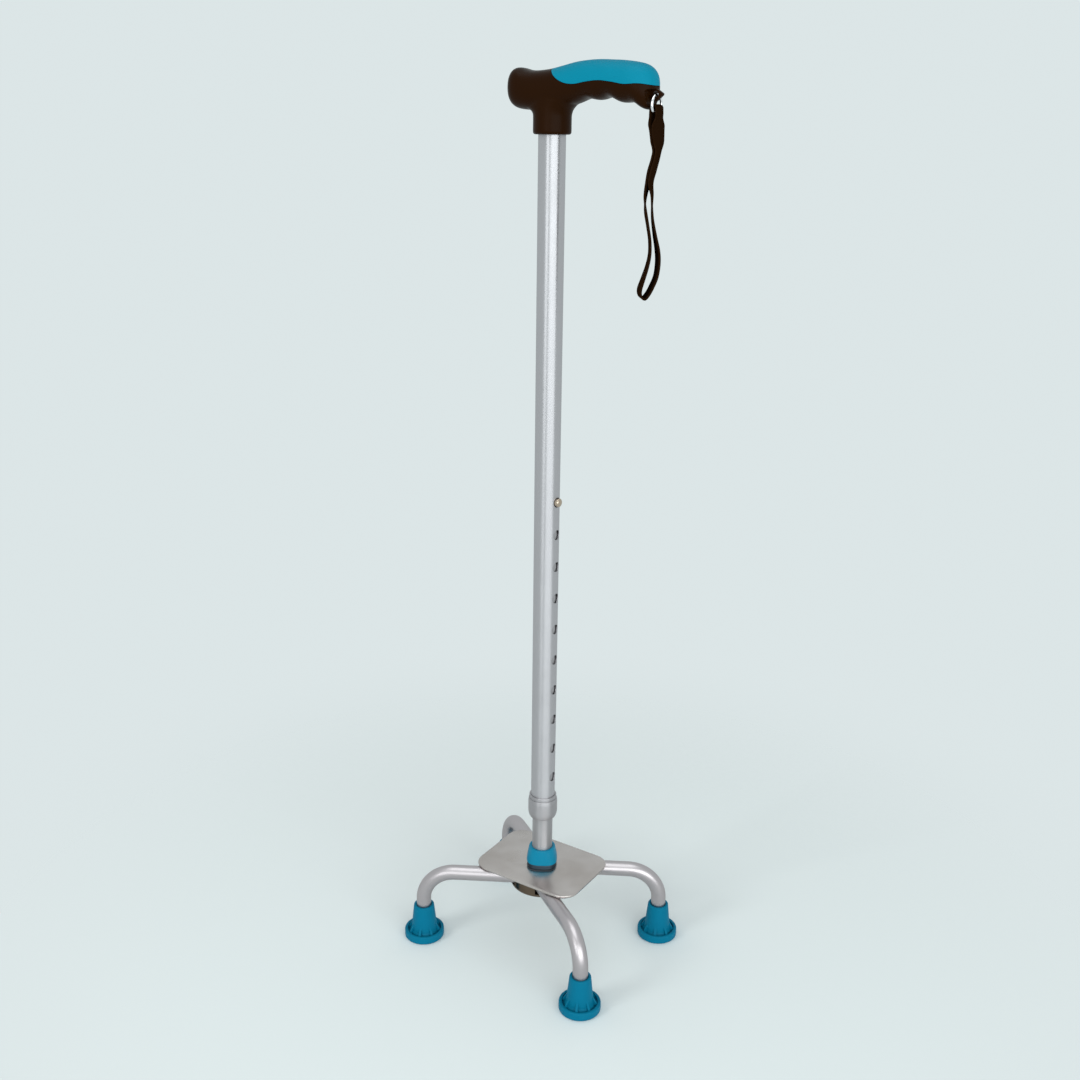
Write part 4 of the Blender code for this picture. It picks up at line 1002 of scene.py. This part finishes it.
def makeFeet():
    bore = leg["diameter"] / 2 + gap
    coneTop, coneBase, flare = rubber["coneTop"] / 2, rubber["coneBase"] / 2, rubber["flare"] / 2
    rimOuter, rimRound, edge = rubber["rimDiameter"] / 2, rubber["rimRounding"], rubber["grooveEdge"]
    rimInner = rimOuter - rubber["rimWall"]
    kneeOut, kneeUp = rubber["knee"]
    top, trough, ribTop, rimTop = rubber["height"], rubber["trough"], rubber["ribTop"], rubber["rimHeight"]
    # radius, height and rounding of each corner
    outline = [
        (bore, top, 0.0003), (coneTop, top, 0.0010), (coneBase, ribTop, 0.0100),
        (coneBase + kneeOut * (flare - coneBase), trough + kneeUp * (ribTop - trough), 0.0030),
        (flare, trough, 0.0004), (rimInner, trough, 0.0004), (rimInner, rimTop, 0.0007),
        (rimOuter, rimTop, rimRound), (rimOuter, 0.0, rimRound),
    ]
    depth = rubber["grooveDepth"]
    for outer, inner in rubber["soleGrooves"]:
        outline += [(outer + edge, 0.0, edge), (outer, depth, 0.0), (inner, depth, 0.0)]
        if inner > 0.0:
            outline.append((inner - edge, 0.0, edge))
    outline += [(0.0, rubber["floor"], 0.0), (bore, rubber["floor"], 0.0)]
    body = turned("footBody", rounded(outline, 6), rubber["sides"])
    # each rib's outer face runs from the cone at ribTop down to the rim's inner edge
    slope = Vector((rimInner - coneBase, rimTop - rubber["ribDrop"] - ribTop))
    outward = Vector((-slope.y, slope.x)).normalized()
    centre = Vector((coneBase, ribTop)) + slope / 2 - outward * rubber["ribDepth"] / 2
    values = {
        "Count": rubber["ribs"], "Radius": centre.x, "Width": rubber["ribWidth"], "Depth": rubber["ribDepth"],
        "Height": slope.length + rubber["ribOverlap"], "Lean": math.atan2(slope.x, slope.y) - math.pi,
        "Material": finishes["footRubber"],
    }
    ribs = runTree(makeRibTree(), "footRibs", values)
    halfStep = Matrix.Rotation(math.pi / rubber["ribs"], 4, "Z")
    ribs.transform(Matrix.Translation((0.0, 0.0, centre.y)) @ halfStep)
    tip = cutMesh(body, ("UNION", ribs))
    for name, sx, sy in (("left", -1, -1), ("front", 1, -1), ("right", 1, 1), ("rear", -1, 1)):
        mesh = tip.copy()
        mesh.transform(Matrix.Translation((sx * rubber["halfX"], sy * rubber["halfY"], 0.0)))
        node = "foot_tip_" + name
        addPiece("rubber_tip_" + name, mesh, "footRubber", "base", "teal_rubber", node, angle=38)
        low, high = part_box("foot_washer_" + name)
        at = ((low.x + high.x) / 2, (low.y + high.y) / 2)
        hole, edge = rubber["washerHole"] / 2, rubber["washerEdge"]
        outline = tubeOutline(leg["diameter"] / 2, hole, low.z, high.z, edge)
        washer = turned("washer", outline, rubber["washerSides"], at)
        addPiece("tip_washer_" + name, washer, "groundSteel", "base", "steel", "foot_washer_" + name)


makeFeet()
print("rubber tips made")


# Handle: one moulding whose neck flares into the grip, with a soft inlay on top

handle = {
    "tubeInside": 0.0244,
    "neckRadius": 0.0132,
    "neckEdge": 0.0016,
    "neckEdgeSteps": 5,
    "boreSides": 128,
    "runOut": 0.010,            # how far the bore's cutter stands out below
    "roundness": 2.35,
    "sectionPoints": 72,
    "stationSteps": 5,
    "voxel": 0.00065,
    "smoothing": 6,
    "inlayThickness": 0.0030,
    "inlayRoom": (0.060, 0.030),        # height and half width of what is cut away for it
    "borderSteps": 6,
    "seam": 0.0003,
    # place along X, underside, top and half width, heights counted from the socket's rim
    "grip": (
        (-0.0343, 0.0280, 0.0322, 0.0020), (-0.0336, 0.0238, 0.0368, 0.0054),
        (-0.0316, 0.0202, 0.0404, 0.0088), (-0.0285, 0.0178, 0.0429, 0.0118),
        (-0.0245, 0.0165, 0.0431, 0.0134), (-0.0180, 0.0159, 0.0416, 0.0140),
        (-0.0110, 0.0157, 0.0411, 0.0140), (0.0000, 0.0157, 0.0419, 0.0138),
        (0.0100, 0.0170, 0.0437, 0.0137), (0.0210, 0.0200, 0.0459, 0.0136),
        (0.0300, 0.0228, 0.0468, 0.0136), (0.0390, 0.0219, 0.0471, 0.0137),
        (0.0480, 0.0235, 0.0467, 0.0137), (0.0570, 0.0203, 0.0462, 0.0136),
        (0.0660, 0.0202, 0.0451, 0.0132), (0.0720, 0.0169, 0.0438, 0.0121),
        (0.0760, 0.0160, 0.0419, 0.0102), (0.0792, 0.0190, 0.0388, 0.0070),
        (0.0810, 0.0256, 0.0342, 0.0030),
    ),
    # height above the rim, reach to -X and reach to +X
    "neck": (
        (0.0118, 0.0132, 0.0132), (0.0136, 0.0136, 0.0136), (0.0149, 0.0146, 0.0141),
        (0.0160, 0.0164, 0.0148), (0.0170, 0.0184, 0.0157), (0.0186, 0.0186, 0.0176),
        (0.0200, 0.0180, 0.0198), (0.0214, 0.0172, 0.0226), (0.0240, 0.0150, 0.0220),
        (0.0280, 0.0100, 0.0120),
    ),
    # lower border of the inlay from the side
    "border": (
        (0.0012, 0.0500), (0.0034, 0.0424), (0.0062, 0.0392), (0.0102, 0.0360), (0.0146, 0.0336),
        (0.0195, 0.0321), (0.0260, 0.0317), (0.0350, 0.0330), (0.0450, 0.0337), (0.0550, 0.0326),
        (0.0640, 0.0312), (0.0750, 0.0314), (0.0900, 0.0286),
    ),
}
lug = {
    "holeX": 0.0812,
    "holeHeight": 0.0254,
    "holeDiameter": 0.0038,
    "thickness": 0.0030,
    "tip": (0.0850, 0.0252),
    "tipRadius": 0.0010,
    "top": ((0.0700, 0.0340), (0.0780, 0.0308)),
    "bottom": ((0.0812, 0.0208), (0.0700, 0.0206)),
    "edge": 0.0005,
    "tipStart": 60,
    "tipTurn": 110,
    "tipSteps": 8,
    "roomX": 0.0773,
    "roomTop": 0.0282,
    "roomEnd": 0.0900,
    "roomCorner": 0.0012,
}
screw = {
    "diameter": 0.0030,
    "headHeight": 0.0016,
    "headEdge": 0.0007,
    "tipEdge": 0.0005,
    "slot": 0.0009,
    "slotDepth": 0.0009,
    "slotReach": 0.7,           # half the cross's height, as a share of the head's radius
    "slotWaist": 0.6,           # half the width of each arm, as a share of its size
    "runOut": 0.004,
    "sides": 64,
}
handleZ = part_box("handle_body")[0].z


def gripForm(name, inset=0.0):
    first, last = handle["grip"][0][0], handle["grip"][-1][0]
    middle, halfLength = (first + last) / 2, (last - first) / 2
    shrink = (halfLength - inset) / halfLength
    stations = smoothPath([s[:3] for s in handle["grip"]], handle["stationSteps"])
    widths = smoothPath([(s[0], s[3], 0.0) for s in handle["grip"]], handle["stationSteps"])
    power = 2 / handle["roundness"]
    rings = []
    for (x, low, high), (_, width, _) in zip(stations, widths):
        halfHeight = max((high - low) / 2 - inset, (high - low) / 8)
        halfWidth = max(width - inset, width / 4)
        ring = []
        for side, rise in circle(handle["sectionPoints"]):
            y = math.copysign(abs(side) ** power, side) * halfWidth
            z = math.copysign(abs(rise) ** power, rise) * halfHeight
            ring.append((middle + (x - middle) * shrink, y, handleZ + (high + low) / 2 + z))
        rings.append(ring)
    return loftRings(name, rings)


def neckForm():
    radius, edge = handle["neckRadius"], handle["neckEdge"]
    stations = []
    for turn in turns(math.pi / 2, handle["neckEdgeSteps"]):
        reach = radius - edge + edge * math.sin(turn)
        stations.append((edge * (1 - math.cos(turn)), reach, reach))
    stations += [tuple(v) for v in smoothPath([(edge, radius, radius), *handle["neck"]], 4)[1:]]
    rings = []
    for height, back, front in stations:
        halfWidth = min(radius, back, front)
        ring = []
        for c, s in circle(handle["sectionPoints"]):
            reach = front if c > 0 else back
            ring.append((reach * c, halfWidth * s, handleZ + height))
        rings.append(ring)
    return loftRings("neckForm", rings)


def blended(name, *meshes):
    # several closed forms grown together and softened where they meet
    grow = ("REMESH", {"mode": "VOXEL", "voxel_size": handle["voxel"]})
    soften = ("SMOOTH", {"factor": 0.5, "iterations": handle["smoothing"]})
    return modified(joinMeshes(name, *meshes), grow, soften)


def sidePrism(name, outline, halfWidth):
    rings = [[(x, y, handleZ + z) for x, z in outline] for y in (-halfWidth, halfWidth)]
    return loftRings(name, rings)


def inlayRegion(dropBy):
    # everything above the inlay's border, which can be lowered
    border = smoothPath([(*p, 0.0) for p in handle["border"]], handle["borderSteps"])
    line = []
    for k, spot in enumerate(border):
        along = heading(border, k)
        line.append((spot.x + along.y * dropBy, spot.y - along.x * dropBy))
    roof, halfWidth = handle["inlayRoom"]
    return sidePrism("inlayRegion", [*line, (line[-1][0], roof), (line[0][0], roof)], halfWidth)


def lugForm():
    x, z = lug["tip"]
    outline = [*lug["top"]]
    for past in turns(lug["tipTurn"], lug["tipSteps"]):
        turn = math.radians(lug["tipStart"] - past)
        outline.append((x + lug["tipRadius"] * math.cos(turn), z + lug["tipRadius"] * math.sin(turn)))
    outline += lug["bottom"]
    settings = {"width": lug["edge"], "segments": 3, "limit_method": "ANGLE", "angle_limit": math.radians(50)}
    return modified(sidePrism("lug", outline, lug["thickness"] / 2), ("BEVEL", settings))


def makeHandle():
    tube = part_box("upper_tube")[1].x
    form = blended("handleForm", gripForm("gripForm"), neckForm())
    near, far, roof, corner = lug["roomX"], lug["roomEnd"], lug["roomTop"], lug["roomCorner"]
    outline = [(near, 0.0), (far, 0.0), (far, roof), (near + corner, roof), (near, roof - corner)]
    room = sidePrism("ringRoom", outline, handle["neckRadius"])
    thickness, seam = handle["inlayThickness"], handle["seam"]
    pocket = cutMesh(inlayRegion(seam), ("DIFFERENCE", gripForm("pocketCore", thickness + seam)))
    start, end = handleZ - handle["runOut"], handleZ + handle["tubeInside"] + gap
    bore = rod("bore", (0, 0, start), (0, 0, end), tube + gap, handle["boreSides"])
    x, y, z = lug["holeX"], lug["thickness"], handleZ + lug["holeHeight"]
    ringHole = rod("ringHole", (x, -y, z), (x, y, z), lug["holeDiameter"] / 2)
    low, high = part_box("handle_screw")
    screwZ = (low.z + high.z) / 2
    headRadius = (high.z - low.z) / 2
    headEnd = low.x + screw["headHeight"] + gap
    recess = rod("recess", (low.x - screw["runOut"], 0, screwZ), (headEnd, 0, screwZ), headRadius + gap)
    way = rod("way", (low.x, 0, screwZ), (-tube / 2, 0, screwZ), screw["diameter"] / 2 + gap)
    body = cutMesh(form.copy(), ("DIFFERENCE", room), ("UNION", lugForm()), ("DIFFERENCE", bore),
                   ("DIFFERENCE", pocket), ("DIFFERENCE", ringHole), ("DIFFERENCE", recess),
                   ("DIFFERENCE", way))
    addPiece("handle", body, "handlePlastic", "upper_shaft", "black_plastic", "handle_body", angle=40)
    inlay = cutMesh(form, ("INTERSECT", inlayRegion(0.0)), ("DIFFERENCE", gripForm("inlayCore", thickness)))
    addPiece("palm_inlay", inlay, "inlayRubber", "upper_shaft", "teal_rubber", "grip_inlay", angle=40)


def makeScrew():
    low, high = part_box("handle_screw")
    z, head, length = (low.z + high.z) / 2, (high.z - low.z) / 2, high.x - low.x
    shank, height = screw["diameter"] / 2, screw["headHeight"]
    outline = rounded([
        (0.0, 0.0, 0.0), (head, 0.0, screw["headEdge"]), (head, height, 0.0001), (shank, height, 0.0),
        (shank, length, screw["tipEdge"]), (0.0, length, 0.0),
    ], 6)
    mesh = turned("screw", outline, screw["sides"])
    mesh.transform(Matrix.Translation((low.x, 0.0, z)) @ Matrix.Rotation(math.pi / 2, 4, "Y"))
    reach, slot = screw["slotReach"] * head, screw["slot"]
    arms = []
    for wide, tall in ((slot, reach), (reach, slot)):
        rings = []
        for x in (low.x - slot, low.x + screw["slotDepth"]):
            rings.append([(x, sy * wide * screw["slotWaist"], z + sz * tall) for sy, sz in quarters])
        arms.append(("DIFFERENCE", loftRings("slot", rings)))
    addPiece("socket_screw", cutMesh(mesh, *arms), "groundSteel", "upper_shaft", "steel", "handle_screw")


makeHandle()
makeScrew()
print("handle made")


# Ring

ring = {"wire": 0.0018, "diameter": 0.0134, "steps": 96, "sides": 24}


def makeRing():
    low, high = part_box("strap_ring")
    wire = ring["wire"] / 2
    radius = ring["diameter"] / 2 - wire
    middle = Vector((lug["holeX"], 0.0, (low.z + high.z) / 2))
    rings = []
    for rise, side in circle(ring["steps"]):
        out = Vector((0.0, side, rise))
        centre = middle + out * radius
        turns = circle(ring["sides"])
        rings.append([centre + out * wire * c + Vector((wire * s, 0.0, 0.0)) for c, s in turns])
    mesh = loftRings("ring", rings, closed=True)
    addPiece("lug_ring_wire", mesh, "chrome", "lug_ring", "chrome", "strap_ring")


makeRing()
print("ring made")


# Wrist strap: one tape, folded over the ring, sewn to itself and hanging in a loop

strap = {
    "thickness": 0.0014,
    "width": 0.0145,
    "foldWidth": 0.0086,
    "foldRise": 0.0030,
    "play": 0.0007,
    "layerGap": 0.0004,
    "steps": 12,
    "foldSteps": 8,
    "pinch": 0.9,               # the layers come together from the fold to here
    "pinchDepth": 0.0038,
    "widenFrom": 0.0015,
    "widenOver": 0.0060,
    "section": (0.5, 0.492, 0.47, 0.40, 0.20, 0.0, -0.20, -0.40, -0.47, -0.492, -0.5),
    "softEdge": 0.03,
    "thinnest": 0.06,
    # sideways shift, depth below the ring's lowest wire, and turn about the vertical in degrees
    "stem": ((0.0009, 0.0100, -2), (0.0015, 0.0170, 4), (0.0014, 0.0225, 17), (0.0004, 0.0280, 18),
             (-0.0014, 0.0350, 17), (-0.0028, 0.0425, 20)),
    "down": ((-0.0007, 0.0500, 27), (-0.0004, 0.0580, 31), (0.0003, 0.0660, 34), (0.0022, 0.0760, 38),
             (0.0042, 0.0850, 41), (0.0049, 0.0930, 41), (0.0040, 0.1020, 40), (0.0014, 0.1090, 40),
             (-0.0012, 0.1140, 40)),
    "up": ((-0.0038, 0.1168, 40), (-0.0062, 0.1152, 40), (-0.0067, 0.1110, 40), (-0.0046, 0.1040, 38),
           (-0.0022, 0.0960, 36), (-0.0008, 0.0880, 35), (-0.0011, 0.0790, 35), (-0.0027, 0.0700, 35),
           (-0.0043, 0.0620, 35), (-0.0050, 0.0560, 31), (-0.0049, 0.0500, 25)),
}


def strapLine():
    layer = (strap["thickness"] + strap["layerGap"]) / 2
    fold = ring["wire"] / 2 + strap["play"] + strap["thickness"] / 2
    pinch, depth = fold * strap["pinch"], strap["pinchDepth"]
    front = [(fold, 0.0, 0), (pinch, depth, 0)]
    back = [(-pinch, depth, 0), (-fold, 0.0, 0)]
    over = []
    for turn in turns(math.pi, strap["foldSteps"])[1:-1]:
        over.append((-fold * math.cos(turn), -strap["foldRise"] - fold * math.sin(turn), 0))
    down = [(x + layer, depth, turn) for x, depth, turn in strap["stem"]] + list(strap["down"])
    up = list(strap["up"]) + [(x - layer, depth, turn) for x, depth, turn in reversed(strap["stem"])]
    return smoothPath(front + down + up + back + over, strap["steps"])


def strapWidth(depth):
    share = min(max((depth - strap["widenFrom"]) / strap["widenOver"], 0.0), 1.0)
    return strap["foldWidth"] + (strap["width"] - strap["foldWidth"]) * share * share * (3 - 2 * share)


def tapeSection():
    # (across the thickness, across the width) corners of the tape's section, with soft edges
    points = []
    for w in strap["section"]:
        edge = min(1.0, max(0.0, (0.5 - abs(w)) / strap["softEdge"]))
        points.append((0.5 * math.sqrt(max(strap["thinnest"], 1 - (1 - edge) ** 2)), w))
    return points + [(-u, w) for u, w in reversed(points)]


def tapeMesh(line):
    low = Vector((lug["holeX"], 0.0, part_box("strap_ring")[0].z + ring["wire"] / 2))
    rings = []
    for k, spot in enumerate(line):
        along = (line[(k + 1) % len(line)] - line[k - 1]).xy.normalized()
        across = Vector((-along.y, along.x)) * strap["thickness"]
        width = strapWidth(spot.y)
        twist = Matrix.Rotation(math.radians(spot.z), 4, "Z")
        section = []
        for u, w in tapeSection():
            flat = spot.xy + across * u
            section.append(low + twist @ Vector((flat.x, w * width, -flat.y)))
        rings.append(section)
    return loftRings("strap", rings, closed=True)


def mapTape(mesh, line):
    # UV in metres: along the tape's line and across its width
    layer = mesh.uv_layers.new(name="tape")
    section = tapeSection()
    runs, run = [], 0.0
    for k, spot in enumerate(line):
        runs.append(run)
        run += (line[(k + 1) % len(line)] - spot).xy.length
    for polygon in mesh.polygons:
        stations = [mesh.loops[i].vertex_index // len(section) for i in polygon.loop_indices]
        wraps = max(stations) - min(stations) > 1
        for i, station in zip(polygon.loop_indices, stations):
            along = run if wraps and station == 0 else runs[station]
            w = section[mesh.loops[i].vertex_index % len(section)][1]
            layer.data[i].uv = (along, w * strap["width"])


def makeStrap():
    line = strapLine()[:-1]
    mesh = tapeMesh(line)
    mapTape(mesh, line)
    addPiece("wrist_strap_tape", mesh, "webbing", "strap", "webbing", "wrist_strap", angle=60)


makeStrap()
print("strap made")


# Floor, world, light and camera

studio = {
    "background": (0.716, 0.788, 0.797),
    "floorColour": (0.820, 0.908, 0.913),
    "floorRoughness": 0.95,
    "floorSize": 12.0,
    "floorDrop": 0.0002,
    "fadeStart": 0.15,
    "fadeEnd": 0.65,
    "worldColour": (1.0, 1.0, 1.0),
    "worldStrength": 0.62,
    # place, target, size, power and colour of each lamp,
    # and whether it shows in gloss and whether it lights matt surfaces
    "lamps": {
        "window": ((1.68, -1.14, 0.80), (0.0, 0.0, 0.45), (2.55, 1.3), 26.5, (0.93, 1.0, 1.01), True, True),
        "fill": ((0.06, -1.99, 1.00), (0.0, 0.0, 0.45), (0.8, 1.3), 7.5, (0.93, 1.0, 1.01), True, False),
        "overhead": ((0.10, -0.30, 1.90), (0.0, 0.0, 0.0), (1.4, 1.4), 10.5, (0.93, 1.0, 1.01), True, False),
        "key": ((-0.75, -1.90, 1.25), (0.0, 0.0, 0.2), (0.7, 0.7), 12.0, (1.0, 0.99, 0.97), False, True),
    },
}
photo = {
    "lens": 41.046,
    "sensor": 36.0,
    "clipStart": 0.02,
    "pitch": math.radians(18.237),
    "roll": math.radians(0.71),
    "yaw": math.radians(-0.316),
    "azimuth": math.radians(35.022),
    "distance": 0.881811,
    "height": 0.638743,
}


def makeCamera():
    az = photo["azimuth"]
    axisX = Vector((math.cos(az), -math.sin(az), 0.0))
    axisY = Vector((math.sin(az), math.cos(az), 0.0))
    axisZ = Vector((0.0, 0.0, 1.0))

    def toObject(v):
        return Vector((v.dot(axisX), v.dot(axisY), v.dot(axisZ)))

    pitch, roll, yaw = photo["pitch"], photo["roll"], photo["yaw"]
    forward = Vector((math.sin(yaw) * math.cos(pitch), math.cos(yaw) * math.cos(pitch), -math.sin(pitch)))
    right = Vector((math.cos(yaw), -math.sin(yaw), 0.0))
    up = right.cross(forward)
    rolledRight = toObject(math.cos(roll) * right + math.sin(roll) * up)
    rolledUp = toObject(math.cos(roll) * up - math.sin(roll) * right)
    back = -toObject(forward)
    spot = toObject(Vector((0.0, -photo["distance"], photo["height"])))
    camera = bpy.data.cameras.new("camera")
    camera.sensor_width = photo["sensor"]
    camera.lens = photo["lens"]
    camera.clip_start = photo["clipStart"]
    holder = bpy.data.objects.new("camera", camera)
    bpy.context.scene.collection.objects.link(holder)
    holder.matrix_world = Matrix((
        (rolledRight.x, rolledUp.x, back.x, spot.x),
        (rolledRight.y, rolledUp.y, back.y, spot.y),
        (rolledRight.z, rolledUp.z, back.z, spot.z),
        (0.0, 0.0, 0.0, 1.0),
    ))
    bpy.context.scene.camera = holder


def makeLamp(name, place, target, size, power, colour, mirrored, lighting):
    lamp = bpy.data.lights.new(name, "AREA")
    lamp.shape = "RECTANGLE"
    lamp.size, lamp.size_y = size
    lamp.energy = power
    lamp.color = colour
    holder = bpy.data.objects.new(name, lamp)
    bpy.context.scene.collection.objects.link(holder)
    holder.visible_camera = False
    holder.visible_glossy = mirrored
    holder.visible_diffuse = lighting
    holder.location = place
    holder.rotation_euler = (Vector(target) - Vector(place)).to_track_quat("-Z", "Y").to_euler()


def mixShaders(tree, share, first, second, output):
    blend = addNode(tree, "ShaderNodeMixShader", {"Fac": share, 1: first, 2: second})
    tree.links.new(blend.outputs[0], tree.nodes[output].inputs["Surface"])


def makeFloor():
    half = studio["floorSize"] / 2
    bm = bmesh.new()
    corners = ((-half, -half), (half, -half), (half, half), (-half, half))
    bm.faces.new([bm.verts.new((x, y, -studio["floorDrop"])) for x, y in corners])
    mesh = meshOf(bm, "floor")
    mat, tree, shader = newMaterial("floorPaper", studio["floorColour"], studio["floorRoughness"])
    shader.inputs["Specular IOR Level"].default_value = 0.0
    # the floor thins out into the background, so that no horizon shows
    distance = addNode(tree, "ShaderNodeVectorMath", {0: placeOutput(tree)}, operation="LENGTH")
    ends = {"From Min": studio["fadeStart"], "From Max": studio["fadeEnd"]}
    ends["Value"] = distance.outputs["Value"]
    fade = addNode(tree, "ShaderNodeMapRange", ends, interpolation_type="SMOOTHERSTEP")
    clear = tree.nodes.new("ShaderNodeBsdfTransparent")
    mixShaders(tree, fade.outputs["Result"], shader.outputs[0], clear.outputs[0], "Material Output")
    mesh.materials.append(mat)
    floor = tempObject("floor", mesh)


def makeWorld():
    # the world lights the object plainly, while camera and gloss see the pale background
    world = bpy.data.worlds.new("studio")
    world.use_nodes = True
    bpy.context.scene.world = world
    tree = world.node_tree
    plain = tree.nodes["Background"]
    plain.inputs["Color"].default_value = (*studio["worldColour"], 1.0)
    plain.inputs["Strength"].default_value = studio["worldStrength"]
    seen = addNode(tree, "ShaderNodeBackground", {"Color": (*studio["background"], 1.0)})
    rays = tree.nodes.new("ShaderNodeLightPath").outputs
    shown = mathNode(tree, "MAXIMUM", rays["Is Camera Ray"], rays["Is Glossy Ray"])
    shown = mathNode(tree, "MAXIMUM", shown, rays["Is Transmission Ray"])
    mixShaders(tree, shown, plain.outputs[0], seen.outputs[0], "World Output")


makeCamera()
makeFloor()
makeWorld()
for name, values in studio["lamps"].items():
    makeLamp(name, *values)
bpy.context.scene.view_settings.view_transform = "Standard"
print("studio made")
